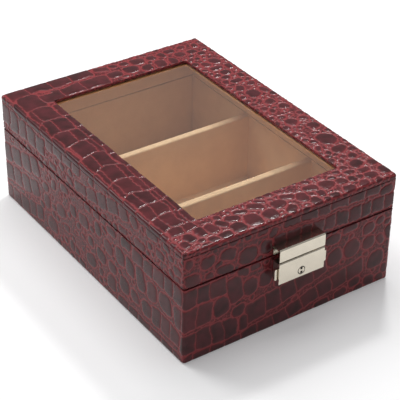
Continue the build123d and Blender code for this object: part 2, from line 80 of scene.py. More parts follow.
# %% [markdown]
# The box is seen from above its front left corner. A long lens from about a
# metre keeps the sides nearly parallel, as product photographs do. The focal
# length is given in pixels of a square frame, because that is how a camera is
# found from a picture, and Blender's millimetres follow from it.

# %% Camera
FRAME_PIXELS = 400
FOCAL_PIXELS = 1396.5
SENSOR_WIDTH = 36.0
AIM = Vector((-0.9, -14.7, 40.0)) * MM
VIEW_DISTANCE = 1036.9 * MM
VIEW_TURN = math.radians(-34.74)
VIEW_RISE = math.radians(33.28)
VIEW_ROLL = math.radians(0.83)


def look_from(turn, rise, roll, aim, distance):
    """The camera's matrix for a turn round the box and a rise above it."""
    back = Vector((
        math.sin(turn) * math.cos(rise),
        -math.cos(turn) * math.cos(rise),
        math.sin(rise),
    ))
    level = Vector((0, 0, 1)).cross(back).normalized()
    upright = back.cross(level)
    right = math.cos(roll) * level + math.sin(roll) * upright
    up = -math.sin(roll) * level + math.cos(roll) * upright
    matrix = Matrix((right, up, back)).transposed().to_4x4()
    matrix.translation = aim + back * distance
    return matrix


camera_data = bpy.data.cameras.new("camera")
camera_data.sensor_width = SENSOR_WIDTH
camera_data.lens = FOCAL_PIXELS * SENSOR_WIDTH / FRAME_PIXELS
camera = bpy.data.objects.new("camera", camera_data)
camera.matrix_world = look_from(VIEW_TURN, VIEW_RISE, VIEW_ROLL, AIM, VIEW_DISTANCE)
bpy.context.collection.objects.link(camera)
bpy.context.scene.camera = camera
bpy.context.scene.view_settings.view_transform = "Standard"
print("lens in mm:", round(camera_data.lens, 1))

# %% [markdown]
# Every finish below is a small tree of nodes. A few helpers keep the trees
# short: one starts a material, one adds a node, sets its values and wires
# what is given as another node's output. The others are what all finishes
# use: sums, colour mixes, noises, ranges and bumps.

# %% Start a material and add a node
def start_material(name):
    """A new material with its node tree and its main shader."""
    material = bpy.data.materials.new(name)
    material.use_nodes = True
    tree = material.node_tree
    return material, tree, tree.nodes["Principled BSDF"]


def put(tree, socket, value):
    """Give a socket a plain value, or wire another node's output into it."""
    if isinstance(value, bpy.types.NodeSocket):
        tree.links.new(value, socket)
    elif isinstance(value, tuple) and len(value) == 3 and socket.type == "RGBA":
        socket.default_value = (*value, 1.0)
    else:
        socket.default_value = value


def fill(tree, node, sockets):
    """Give a node's inputs their values, by name or by number."""
    for key, value in sockets.items():
        put(tree, node.inputs[key], value)


def add_node(tree, kind, sockets=None, **settings):
    """Add a node of this kind; sockets maps its inputs to values."""
    made = tree.nodes.new(kind)
    for key, value in settings.items():
        setattr(made, key, value)
    fill(tree, made, sockets or {})
    return made


def object_place(tree):
    """Texture coordinates that stay with the piece."""
    return add_node(tree, "ShaderNodeTexCoord").outputs["Object"]


print("a material can be started and wired")

# %% Sums, colour mixes, noises and bumps
def maths(tree, operation, *values):
    """The output of a sum, such as MULTIPLY or MAXIMUM."""
    return add_node(tree, "ShaderNodeMath", dict(enumerate(values)), operation=operation).outputs[0]


def vector_maths(tree, operation, *values):
    """The same for vectors; a LENGTH or a DISTANCE comes out as a number."""
    summed = add_node(tree, "ShaderNodeVectorMath", dict(enumerate(values)), operation=operation)
    return summed.outputs["Value" if operation in ("LENGTH", "DISTANCE") else "Vector"]


def blend_colour(tree, share, first, second):
    """The output of a colour mix between first and second."""
    mixed = add_node(tree, "ShaderNodeMix", {"Factor": share}, data_type="RGBA")
    for socket, colour in zip([s for s in mixed.inputs if s.type == "RGBA"], (first, second)):
        put(tree, socket, colour)
    return [s for s in mixed.outputs if s.type == "RGBA"][0]


def noise(tree, place, size_mm, detail=2.0, roughness=0.5):
    """The output of a noise whose lumps are about this many millimetres."""
    sockets = {"Vector": place, "Scale": 1 / (size_mm * MM), "Detail": detail, "Roughness": roughness}
    return add_node(tree, "ShaderNodeTexNoise", sockets).outputs["Fac"]


def ranged(tree, value, low, high, from_low=0.0, from_high=1.0):
    """Map a value from one range to another."""
    sockets = {"Value": value, "From Min": from_low, "From Max": from_high, "To Min": low, "To Max": high}
    return add_node(tree, "ShaderNodeMapRange", sockets).outputs["Result"]


def bump(tree, height, depth_mm, strength=1.0):
    """A bump of this depth for a shader's normal."""
    sockets = {"Height": height, "Distance": depth_mm * MM, "Strength": strength}
    return add_node(tree, "ShaderNodeBump", sockets).outputs["Normal"]


print("sums, mixes, noises, ranges and bumps are ready")

# %% [markdown]
# The box stands on a plain pale sweep. It is an ordinary matt floor, so it
# keeps the soft shadow of the box. A nearly white floor would throw too much
# light up at the sides, so it is a light grey, and a Light Path node lifts it
# a little where the camera, the gloss or the glass sees it. The room is a
# plain grey, slightly lighter overhead.

# %% Floor
FLOOR_HALF = 3.0
FLOOR_COLOUR = (0.80, 0.80, 0.80)
FLOOR_CLOUDS = (0.816, 0.816, 0.816)
CLOUD_SIZE = 300.0
FLOOR_ROUGHNESS = 0.9
FLOOR_LIFT = 0.18

floor_mesh = bpy.data.meshes.new("floor")
floor_corners = [(x * FLOOR_HALF, y * FLOOR_HALF, 0) for x, y in ((-1, -1), (1, -1), (1, 1), (-1, 1))]
floor_mesh.from_pydata(floor_corners, [], [(0, 1, 2, 3)])
floor = bpy.data.objects.new("floor", floor_mesh)
bpy.context.collection.objects.link(floor)
floor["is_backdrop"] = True

floor_material, tree, floor_shader = start_material("pale_floor")
clouds = noise(tree, object_place(tree), CLOUD_SIZE)
ray = add_node(tree, "ShaderNodeLightPath").outputs
seen = maths(tree, "MAXIMUM", ray["Is Camera Ray"], ray["Is Glossy Ray"])
seen = maths(tree, "MAXIMUM", seen, ray["Is Transmission Ray"])
fill(tree, floor_shader, {
    "Base Color": blend_colour(tree, clouds, FLOOR_COLOUR, FLOOR_CLOUDS),
    "Roughness": FLOOR_ROUGHNESS,
    "Emission Color": (1.0, 1.0, 1.0),
    "Emission Strength": ranged(tree, seen, 0.0, FLOOR_LIFT),
})
floor_mesh.materials.append(floor_material)
print("floor is", 2 * FLOOR_HALF, "m wide")

# %% Room
ROOM_LOW = (0.30, 0.30, 0.30)
ROOM_HIGH = (0.38, 0.38, 0.39)
ROOM_HIGH_AT = 0.5

room = bpy.data.worlds.new("room")
room.use_nodes = True
tree = room.node_tree
direction = add_node(tree, "ShaderNodeTexCoord").outputs["Generated"]
height = add_node(tree, "ShaderNodeSeparateXYZ", {"Vector": direction}).outputs["Z"]
share = ranged(tree, height, 0.0, 1.0, 0.0, ROOM_HIGH_AT)
fill(tree, tree.nodes["Background"], {"Color": blend_colour(tree, share, ROOM_LOW, ROOM_HIGH)})
bpy.context.scene.world = room
print("the room's grey goes from", ROOM_LOW[0], "to", ROOM_HIGH[0])

# %% [markdown]
# Three square soft lamps light the box: a wide one overhead, a key high
# behind it on the left that throws its shadow forward, and a narrow one on
# the right, a little behind, for the white glints on the gloss.

# %% Lamps
LAMPS = (
    ("overhead_softbox", (0.0, 0.3, 1.3), 0.9, 8.0),
    ("key_softbox", (-0.6, 1.3, 1.5), 0.7, 11.0),
    ("glint_softbox", (0.5, 0.36, 0.95), 0.12, 4.2),
)


def softbox(name, place, width, watts):
    """A soft lamp at a place in metres that faces the box."""
    data = bpy.data.lights.new(name, "AREA")
    data.shape = "RECTANGLE"
    data.size = data.size_y = width
    data.energy = watts
    lamp = bpy.data.objects.new(name, data)
    lamp.location = place
    lamp.rotation_euler = (Vector(place) - AIM).to_track_quat("Z", "Y").to_euler()
    bpy.context.collection.objects.link(lamp)


for lamp in LAMPS:
    softbox(*lamp)
print("lamps:", [lamp[0] for lamp in LAMPS])

# %% [markdown]
# Embossed leather is pressed between heated plates, so the scales are
# shallow pillows with narrow grooves between them. The pattern is laid out
# here in millimetres as a list of scales, each a rounded block with a place,
# half sizes and a turn. A texture node could draw cells, but not rows of
# large blocks that break up into ovals and pebbles, so the layout is done in
# code and pressed into the mesh. Rows follow a bent path, single scales have
# a place of their own, and small pebbles fill what is left between them.

# %% Single scales and rows of them
SCALE_U, SCALE_V, HALF_P, HALF_Q, ROUND, TURN, DARK = range(7)
ROUND_VARIES = (0.85, 1.1)
TURN_VARIES = (-0.08, 0.08)
DARK_VARIES = (0.86, 1.0)
LENGTH_VARIES = (0.85, 1.15)


def single(scales, random, u, v, length, width, turn=0.0, rounding=0.85):
    """One scale of this length and width, turned by degrees."""
    scales.append((
        u, v, length / 2, width / 2, rounding * random.uniform(*ROUND_VARIES),
        math.radians(turn) + random.uniform(*TURN_VARIES), random.uniform(*DARK_VARIES),
    ))


def row(scales, random, path, count, widths, rounding=0.4):
    """A row of so many scales along a path, from one width to another."""
    path = np.array(path, float)
    along = np.concatenate([[0], np.cumsum(np.linalg.norm(np.diff(path, axis=0), axis=1))])
    lengths = random.uniform(*LENGTH_VARIES, count)
    ends = np.concatenate([[0], np.cumsum(lengths)]) * along[-1] / lengths.sum()
    for start, end in zip(ends, ends[1:]):
        (u0, u1), (v0, v1) = (np.interp((start, end), along, path[:, k]) for k in (0, 1))
        width = np.interp((start + end) / 2, (0, along[-1]), widths)
        turn = math.degrees(math.atan2(v1 - v0, u1 - u0))
        single(scales, random, (u0 + u1) / 2, (v0 + v1) / 2, end - start, width, turn, rounding)


print("a scale is", DARK + 1, "numbers: place, half sizes, rounding, turn and darkness")

# %% Pebbles between the scales
PEBBLE_LENGTH = (0.85, 1.2)
PEBBLE_WIDTH = (0.65, 0.95)
PEBBLE_TURN = 25.0
PEBBLE_SMALL = 4.0
PEBBLE_TONE = (0.6, 0.95)
PEBBLE_GAP = 0.5


def outside(scale, u, v):
    """How far points lie outside a scale's edge; less than 0 inside it."""
    du, dv = u - scale[SCALE_U], v - scale[SCALE_V]
    p = du * np.cos(scale[TURN]) + dv * np.sin(scale[TURN])
    q = dv * np.cos(scale[TURN]) - du * np.sin(scale[TURN])
    corner = np.minimum(scale[ROUND], 1.0) * np.minimum(scale[HALF_P], scale[HALF_Q])
    out_p = np.abs(p) - scale[HALF_P] + corner
    out_q = np.abs(q) - scale[HALF_Q] + corner
    past_corner = np.hypot(np.maximum(out_p, 0), np.maximum(out_q, 0))
    return past_corner + np.minimum(np.maximum(out_p, out_q), 0) - corner


def pebbles(scales, random, low, high, sizes, tries=700):
    """Pebbles dropped where there is room, the large ones first."""
    for size in sizes:
        for _ in range(tries):
            u, v = (random.uniform(low[k], high[k]) for k in (0, 1))
            length = size * random.uniform(*PEBBLE_LENGTH)
            width = length * random.uniform(*PEBBLE_WIDTH)
            room_left = outside(np.array(scales).T, u, v).min()
            if room_left < (length + width) / 4 + PEBBLE_GAP:
                continue
            single(scales, random, u, v, length, width, random.normal(0, PEBBLE_TURN), 1.0)
            if length < PEBBLE_SMALL:
                scales[-1] = (*scales[-1][:DARK], random.uniform(*PEBBLE_TONE))


print("pebbles keep", PEBBLE_GAP, "mm from the scales")

# %% [markdown]
# To press the layout, each point of the hide asks how far it is from its
# nearest scale and from the second nearest. Half the difference is the
# distance to the groove between them. The layout is first bent a little by
# waves, because a real hide is never straight. Open ground between scales
# that lie apart is filled with grains a few millimetres across. The result
# is a fine raster of depth and of colour that the meshes read.

# %% Waves
LONG_WAVES = ((43.0, 0.4), (27.0, 0.35), (16.0, 0.3))
SHORT_WAVES = ((7.0, 0.14), (4.5, 0.12), (3.1, 0.09))


def smooth(value):
    """A soft step from 0 to 1."""
    value = np.clip(value, 0, 1)
    return value * value * (3 - 2 * value)


def wander(u, v, random, period):
    """Waves that bend the layout, in millimetres; they repeat along u."""
    shift = np.zeros_like(u)
    for wave, size in (*LONG_WAVES, *SHORT_WAVES):
        for _ in range(2):
            angle, phase = random.uniform(0, 2 * math.pi, 2)
            turns = round(period / wave * math.cos(angle)) * u / period + v * math.sin(angle) / wave
            shift += size * np.sin(2 * math.pi * turns + phase)
    return shift


print("the layout is bent by", len(LONG_WAVES + SHORT_WAVES), "sizes of waves")

# %% Grains
GRAIN_SIZE = 3.2
GRAIN_JITTER = (0.1, 0.9)
GRAIN_EDGE = 5.0
GRAIN_TONE = (0.7, 1.0)
FAR_AWAY = 30.0


def take_nearest(away, tone, nearest, second, dark):
    """Take in the distances to one more cell, and its tone where it wins."""
    closer = away < nearest
    second = np.where(closer, nearest, np.minimum(second, away))
    return np.where(closer, away, nearest), second, np.where(closer, tone, dark)


def grains(u, v, random, period):
    """Small cells of open ground: how far inside one, and its darkness."""
    across = round(period / GRAIN_SIZE)
    step = period / across
    deep = int((v.max() - v.min()) / step) + 4
    jitter = random.uniform(*GRAIN_JITTER, (across, deep, 2))
    tone = random.uniform(*GRAIN_TONE, (across, deep))
    i, j = np.floor(u / step).astype(int), np.floor((v - v.min()) / step).astype(int)
    found = np.full(u.shape, FAR_AWAY), np.full(u.shape, FAR_AWAY), np.zeros(u.shape)
    for a, b in [(a, b) for a in (-1, 0, 1) for b in (-1, 0, 1)]:
        cell = (i + a) % across, (j + b) % deep
        to_u = u / step - i - a - jitter[cell][..., 0]
        to_v = (v - v.min()) / step - j - b - jitter[cell][..., 1]
        found = take_nearest(np.hypot(to_u, to_v), tone[cell], *found)
    nearest, second, dark = found
    return smooth((second - nearest) * GRAIN_EDGE), dark


print("grains are about", GRAIN_SIZE, "mm")

# %% Find the nearest scales
PRESS_STEP = 0.33
SCALE_REACH = 12.0


def find_scales(scales, low, u, v):
    """Distances to the nearest scale and the second, and the first's tone."""
    found = np.full(u.shape, FAR_AWAY), np.full(u.shape, FAR_AWAY), np.zeros(u.shape)
    for scale in scales:
        reach = math.hypot(scale[HALF_P], scale[HALF_Q]) + SCALE_REACH
        first = [int((scale[k] - reach - low[k]) / PRESS_STEP) for k in (0, 1)]
        last = [int((scale[k] + reach - low[k]) / PRESS_STEP) + 1 for k in (0, 1)]
        here = tuple(slice(max(a, 0), max(b, 0)) for a, b in zip(first, last))
        if u[here].size:
            away = outside(scale, u[here], v[here])
            nearer = take_nearest(away, scale[DARK], *(layer[here] for layer in found))
            for layer, values in zip(found, nearer):
                layer[here] = values
    return found


print("the press works at", PRESS_STEP, "mm")

# %% Press the scales
BLOCK_GAP = 0.5
GROOVE_DEPTH = 0.30
GROOVE_WIDTH = 0.8
PILLOW_DEPTH = 0.26
PILLOW_WIDTH = 4.5
VEIN_WIDTH, RIM_WIDTH = 0.55, 1.8
RIM_SHARE = 0.25
GRAIN_DEPTH = 0.14
GROUND_FROM, GROUND_TO = 0.5, 1.3


def press(scales, low, high, period, seed, lift=None):
    """Depth and colour of a stretch of hide from low to high."""
    random = np.random.RandomState(seed)
    u, v = np.meshgrid(*(np.arange(low[k], high[k], PRESS_STEP) for k in (0, 1)), indexing="ij")
    bent_u = u + wander(u, v, random, period)
    bent_v = v + wander(u, v, random, period)
    if lift:
        bent_v = bent_v + lift(u, v)
    nearest, second, dark = find_scales(scales, low, bent_u, bent_v)
    edge = np.minimum((second - nearest) / 2, BLOCK_GAP - nearest)
    ground = smooth((nearest - BLOCK_GAP - GROUND_FROM) / (GROUND_TO - GROUND_FROM))
    grain, grain_dark = grains(bent_u, bent_v, random, period)
    groove = 1 - smooth(edge / GROOVE_WIDTH)
    slope = 1 - np.clip(edge / PILLOW_WIDTH, 0, 1)
    pillow = -GROOVE_DEPTH * groove - PILLOW_DEPTH * slope**2
    open_ground = -(GROOVE_DEPTH + PILLOW_DEPTH) + GRAIN_DEPTH * (1 + grain)
    shade = ((1 - RIM_SHARE) * smooth(edge / VEIN_WIDTH) + RIM_SHARE * smooth(edge / RIM_WIDTH)) * dark
    return {
        "low": low,
        "depth": pillow * (1 - ground) + open_ground * ground,
        "shade": shade * (1 - ground) + grain * grain_dark * ground,
    }


print("grooves are up to", round(GROOVE_DEPTH + PILLOW_DEPTH, 2), "mm deep")

# %% Read the pressed hide
WITHIN = 1.001


def read_hide(hide, layer, u, v):
    """Interpolated values of one layer of the hide at points u, v."""
    raster = hide[layer]
    a = np.clip((u - hide["low"][0]) / PRESS_STEP, 0, raster.shape[0] - WITHIN)
    b = np.clip((v - hide["low"][1]) / PRESS_STEP, 0, raster.shape[1] - WITHIN)
    i, j = a.astype(int), b.astype(int)
    a, b = a - i, b - j
    low_side = raster[i, j] * (1 - b) + raster[i, j + 1] * b
    high_side = raster[i + 1, j] * (1 - b) + raster[i + 1, j + 1] * b
    return low_side * (1 - a) + high_side * a


print("the hide can be read between the points of its raster")

# %% [markdown]
# The leather is a dark brown hide dyed over red, waxed and polished to a
# high gloss. The scales are almost black and the grooves stay red, so the
# pressed shade, which each point of the mesh carries as an attribute, drives
# the colour. Fine pores and faint rubbed patches keep the gloss from looking
# like plastic.

# %% Leather finish
GROOVE_RED = (0.27, 0.037, 0.041)
GROOVE_DEEP = (0.158, 0.022, 0.026)
SCALE_BROWN = (0.038, 0.0115, 0.012)
SCALE_WARM = (0.080, 0.0165, 0.0205)
PATCH_SIZE, PORE_SIZE = 9.0, 0.35
GROOVE_ROUGH, SCALE_ROUGH = 0.34, 0.15
LEATHER_SPECULAR = 0.21


def make_leather():
    """Glossy leather, dark on the scales and red in the grooves."""
    material, tree, skin = start_material("embossed_leather")
    place = object_place(tree)
    shade = add_node(tree, "ShaderNodeAttribute", attribute_name="scale").outputs["Fac"]
    patches = noise(tree, place, PATCH_SIZE, 3.0)
    pores = noise(tree, place, PORE_SIZE, 2.0)
    brown = blend_colour(tree, ranged(tree, patches, 0.0, 1.0, 0.35, 0.65), SCALE_BROWN, SCALE_WARM)
    red = blend_colour(tree, ranged(tree, pores, 0.0, 0.5, 0.3, 0.7), GROOVE_RED, GROOVE_DEEP)
    rough = ranged(tree, shade, GROOVE_ROUGH, SCALE_ROUGH)
    fill(tree, skin, {
        "Base Color": blend_colour(tree, shade, red, brown),
        "Roughness": maths(tree, "ADD", rough, ranged(tree, patches, -0.03, 0.04)),
        "Specular IOR Level": LEATHER_SPECULAR,
        "Normal": bump(tree, pores, 0.02, 0.35),
    })
    return material


leather = make_leather()
print("leather finish:", leather.name)

# %% [markdown]
# Each cover is one closed skin that runs round the box: a profile across the
# leather, carried along a rounded rectangle. A profile point has an inset
# from the outside, a height, a place on the hide and a share of the
# embossing. Grids like this stay even, so the press can move their points
# without tearing, and the turned-over edges come from the same profile.

# %% Columns of a ring
OUTER_LOW, OUTER_HIGH = corners_mm("base_leather")
HALF_X, HALF_Y = OUTER_HIGH[0], OUTER_HIGH[1]
CORNER_R = 2.2
CORNER_COLUMNS = 8
LEAST_R = 0.3
GRID_STEP = 0.5


def corner_radius(inset, window_r=None, border=None):
    """The outline's corner radius at this inset."""
    radius = np.maximum(CORNER_R - inset, LEAST_R)
    if window_r is not None:
        radius = np.maximum(radius, window_r * np.clip(inset / border, 0, 1) ** 2)
    return radius


def side_columns(reach, breaks=()):
    """Places from -1 to 1 along a side, with a column at every break."""
    count = int(round(2 * reach / GRID_STEP))
    places = np.linspace(-reach, reach, count + 1)
    for edge in breaks:
        places[np.abs(places - edge).argmin()] = edge
    return places / reach


def ring_columns(back_breaks=()):
    """Columns counterclockwise from the front left corner: place, turn, arc."""
    reach = np.array((HALF_X, HALF_Y)) - CORNER_R
    sides = ((0, 1, -1, -90), (1, 1, 1, 0), (0, -1, 1, 90), (1, -1, -1, 180))
    tx, ty, angle = [], [], []
    for axis, way, other, heading in sides:
        along = way * side_columns(reach[axis], back_breaks if heading == 90 else ())
        if way < 0:
            along = np.sort(along)[::-1]
        across = np.full(along.shape, float(other))
        tx.append(along if axis == 0 else across)
        ty.append(across if axis == 0 else along)
        angle.append(np.full(along.shape, float(heading)))
        bend = np.linspace(0, 90, CORNER_COLUMNS + 1)[1:-1]
        tx.append(np.full(bend.shape, tx[-1][-1]))
        ty.append(np.full(bend.shape, ty[-1][-1]))
        angle.append(heading + bend)
    tx, ty, angle = (np.concatenate(part) for part in (tx, ty, angle))
    return {"tx": tx, "ty": ty, "angle": np.radians(angle)}


print("outside of the leather in mm:", 2 * HALF_X, "by", 2 * HALF_Y)

# %% Points of a ring
def spread(share, reach, outer_reach, kept):
    """Scale places along a side to a shorter reach, but not within kept."""
    place = np.abs(share) * outer_reach
    beyond = kept + (place - kept) * (reach - kept) / (outer_reach - kept)
    return np.sign(share) * np.where(place < kept, place, beyond)


def ring_points(columns, inset, radius, kept=(0.0, 0.0)):
    """x and y of every column at each inset, one row per inset."""
    inset, radius = np.asarray(inset)[:, None], np.asarray(radius)[:, None]
    x = spread(columns["tx"], HALF_X - inset - radius, HALF_X - CORNER_R, kept[0])
    y = spread(columns["ty"], HALF_Y - inset - radius, HALF_Y - CORNER_R, kept[1])
    return x + radius * np.cos(columns["angle"]), y + radius * np.sin(columns["angle"])


print("a ring has", ring_columns()["angle"].size, "columns")

# %% Profile of a ring
GLUED, FOLDED, ROUNDED, PRESSED = 0.0, 0.15, 0.6, 1.0


def run(profile, inset, height, place, share, step=None):
    """Carry the profile straight to a point, in steps if one is given."""
    end = (inset, height, place, share)
    if step:
        start = profile[-1]
        count = max(1, round(math.hypot(inset - start[0], height - start[1]) / step))
        for k in range(1, count):
            profile.append(tuple(a + (b - a) * k / count for a, b in zip(start, end)))
    profile.append(end)


def turn_over(profile, inset, height, radius, start, end, share, count=3):
    """Carry the profile round an arc; the angles are 0 inward and 90 up."""
    place = profile[-1][2]
    way = math.radians(end - start)
    for k in range(1, count + 1):
        angle = math.radians(start) + way * k / count
        profile.append((
            inset + radius * math.cos(angle),
            height + radius * math.sin(angle),
            place + radius * abs(way) * k / count,
            share,
        ))


print("shares of the embossing from a glued face to a pressed one:", (GLUED, FOLDED, ROUNDED, PRESSED))

# %% Grids of points
LEAST_LENGTH = 1e-12


def unit(vectors):
    """Vectors scaled to a length of one."""
    return vectors / np.maximum(np.linalg.norm(vectors, axis=-1, keepdims=True), LEAST_LENGTH)


def grid_normals(points):
    """Outward directions of a ring's grid of points."""
    along, up = (np.roll(points, -1, axis) - np.roll(points, 1, axis) for axis in (1, 0))
    return unit(np.cross(along, up))


def ring_quads(count, size, here, after):
    """Faces from row to row of a closed grid, between two sets of columns."""
    rows = np.arange(count)[:, None]
    above = (rows + 1) % count
    corners = (rows, here), (rows, after), (above, after), (above, here)
    return np.stack([line * size + column for line, column in corners], axis=-1)


print("a grid of points can be faced and given its normals")

# %% Mesh from points
def skin_object(name, points, faces, normals=None, shade=None):
    """A mesh object from points in millimetres, without unused points."""
    used = np.unique(np.concatenate([np.asarray(face).ravel() for face in faces]))
    number = np.full(len(points), -1)
    number[used] = np.arange(len(used))
    loops = [number[face].tolist() for face in faces]
    mesh = bpy.data.meshes.new(name)
    mesh.from_pydata((points[used] * MM).tolist(), [], loops)
    mesh.shade_smooth()
    if shade is not None:
        layer = mesh.attributes.new("scale", "FLOAT", "POINT")
        layer.data.foreach_set("value", shade[used].astype(np.float32))
    if normals is not None:
        mesh.normals_split_custom_set_from_vertices(normals[used].tolist())
    made = bpy.data.objects.new(name, mesh)
    bpy.context.collection.objects.link(made)
    return made


def dress(piece, node, body, material):
    """Let a piece stand for a node, ride its body and wear a finish."""
    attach(piece, body)
    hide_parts(node)
    piece.data.materials.append(material)


print("meshes are made in millimetres and scaled by", MM)

# %% [markdown]
# A cover is cut into four pieces at the middles of its corners, so that no
# single mesh gets too heavy. The pieces share the normals of the whole ring,
# and the cuts stay unseen. At the hinges the leather is cut away for the
# leaves: those faces go, and the cut edges of the leather are closed.

# %% Leave room for the hinges
THICK = 0.8
LEAF_CLEAR = 0.3
TOUCHING = 0.01
leaf_low, leaf_high = corners_mm("right_hinge_base_leaf")
NOTCH_X = (leaf_low[0] - LEAF_CLEAR, leaf_high[0] + LEAF_CLEAR)
NOTCH_IN = round(HALF_Y - leaf_low[1] + LEAF_CLEAR, 2)


def notch_faces(profile, columns, rim, under):
    """Which faces go at the hinges, and the faces that close the cuts."""
    rows = {(round(p[0], 2), round(p[1], 2)): i for i, p in enumerate(profile)}
    rim, under = round(rim, 2), round(under, 2)
    outer, inner = rows[(0.0, under)], rows[(THICK, under)]
    top, bottom = rows[(NOTCH_IN, rim)], rows[(NOTCH_IN, under)]
    count, size = len(profile), len(columns["tx"])
    way = 1 if (top - outer) % count < count / 2 else -1

    def between(a, b):
        """Rows from a to b, the way the profile runs."""
        steps = (b - a) * way % count
        return [(a + way * k) % count for k in range(steps + 1)]

    gone = np.zeros((count, size), bool)
    extra = []
    reach = HALF_X - CORNER_R
    back = np.isclose(columns["angle"], math.pi / 2)
    x = columns["tx"] * reach
    for sign in (-1, 1):
        low, high = sorted(sign * edge for edge in NOTCH_X)
        inside = np.where(back & (x > low - TOUCHING) & (x < high + TOUCHING))[0]
        first, last = inside.min(), inside.max()
        for a, b in ((outer, top), (bottom, inner)):
            path = between(a, b)
            for i, j in zip(path, path[1:]):
                gone[i if way > 0 else j, first:last] = True
        for k in range(first, last):
            for a, b in ((outer, inner), (bottom, top)):
                quad = (a * size + k, a * size + k + 1, b * size + k + 1, b * size + k)
                extra.append((k, quad if way > 0 else quad[::-1]))
        wall = between(outer, top) + between(bottom, inner)
        for k, flip in ((first, True), (last, False)):
            loop = [i * size + k for i in wall]
            extra.append((min(k, last - 1), loop[::-1] if flip == (way > 0) else loop))
    return gone, extra


print("leather is cut away from", NOTCH_X[0], "to", NOTCH_X[1], "mm and", NOTCH_IN, "mm in")

# %% Build a ring in four pieces
SIDES = ("front", "right", "back", "left")
CUT_ANGLES = (-45, 45, 135, 225)


def leather_ring(name, node, body, profile, columns, hide, flat, kept=(0.0, 0.0), window=(), notch=None):
    """Press a ring of leather and cut it into four pieces for a node."""
    inset, height, place, share = (np.array(column) for column in zip(*profile))
    x, y = ring_points(columns, inset, corner_radius(inset, *window), kept)
    points = np.stack([x, y, np.repeat(height[:, None], x.shape[1], 1)], axis=-1)
    u, v = flat(place)
    pressed = read_hide(hide, "depth", u, v) * share[:, None]
    points = points + grid_normals(points) * pressed[..., None]
    count, size = x.shape
    gone, extra = notch_faces(profile, columns, *notch) if notch else (np.zeros((count, size), bool), [])
    arcs = np.degrees(columns["angle"])
    cuts = [int(np.abs(arcs - angle).argmin()) for angle in CUT_ANGLES]
    for side, name_of_side in enumerate(SIDES):
        first, last = cuts[side - 1], cuts[side]
        span = np.arange(first, last if last > first else last + size)
        here, after = span % size, (span + 1) % size
        quads = ring_quads(count, size, here, after)[~gone[:, here]]
        ends = [np.arange(count) * size + first % size, np.arange(count)[::-1] * size + last % size]
        closing = [np.array(face) for k, face in extra if k in set(here.tolist())]
        piece = skin_object(
            f"{name}_{name_of_side}",
            points.reshape(-1, 3),
            [*quads, *ends, *closing],
            grid_normals(points).reshape(-1, 3),
            read_hide(hide, "shade", u, v).reshape(-1),
        )
        dress(piece, node, body, leather)
        print(piece.name, "has", len(piece.data.polygons), "faces")


print("pieces of a cover:", SIDES)

# %% [markdown]
# The hide of the case cover is one strip round the box, and a side's scales
# are laid out by their place on that side. Upright ovals in rows cover the
# left side, flatter blocks in rows the front, and the sides that are less
# seen follow the same hide.

# %% The strip round the box
AROUND = 2 * (HALF_X + HALF_Y) * 2 - 8 * CORNER_R + 2 * math.pi * CORNER_R
FRONT_L, SIDE_L = 2 * (HALF_X - CORNER_R), 2 * (HALF_Y - CORNER_R)
BEND_L = math.pi / 2 * CORNER_R
RIGHT_AT = FRONT_L + BEND_L
BACK_AT = RIGHT_AT + SIDE_L + BEND_L
LEFT_AT = BACK_AT + FRONT_L + BEND_L
HIDE_FROM, HIDE_TO = -5.0, AROUND + 6.0


def on_side(start, half, way):
    """A function from a point of one side to its place on the strip."""
    return lambda along, z: (start + half - CORNER_R + way * along, z)


on_front = on_side(0.0, HALF_X, 1)
on_right = on_side(RIGHT_AT, HALF_Y, 1)
on_back = on_side(BACK_AT, HALF_X, -1)
on_left = on_side(LEFT_AT, HALF_Y, -1)


def strip_flat(columns):
    """Flat places on the strip: along the outline and up the profile."""
    x, y = ring_points(columns, np.zeros(1), np.full(1, CORNER_R))
    steps = np.hypot(np.diff(x[0]), np.diff(y[0]))
    along = np.concatenate([[0], np.cumsum(steps)])
    return lambda place: np.broadcast_arrays(along[None, :], np.asarray(place)[:, None])


print("the strip is", round(AROUND, 1), "mm round")

# %% Lay scales on a side
STRIP_MARGIN = 14.0
STRIP_PEBBLES, PEBBLE_PAST = (6.0, 3.4), 10


def wrap_round(scales):
    """Repeat the scales near the strip's ends at its other end."""
    ends = [s for s in scales if s[SCALE_U] < STRIP_MARGIN or s[SCALE_U] > AROUND - STRIP_MARGIN]
    for scale in ends:
        shift = AROUND if scale[SCALE_U] < STRIP_MARGIN else -AROUND
        scales.append((scale[SCALE_U] + shift, *scale[1:]))


def lay_rows(scales, random, place, rows):
    """Rows on one side: each has a path, a count, two widths and a rounding."""
    for path, count, widths, rounding in rows:
        row(scales, random, [place(*point) for point in path], count, widths, rounding)


def lay_singles(scales, random, place, singles):
    """Single scales on one side: place, length, width and perhaps a turn."""
    way = -1 if place in (on_left, on_back) else 1
    for along, height, length, width, *turn in singles:
        single(scales, random, *place(along, height), length, width, way * (turn[0] if turn else 0))


print("scales within", STRIP_MARGIN, "mm of the strip's ends are repeated at the other end")

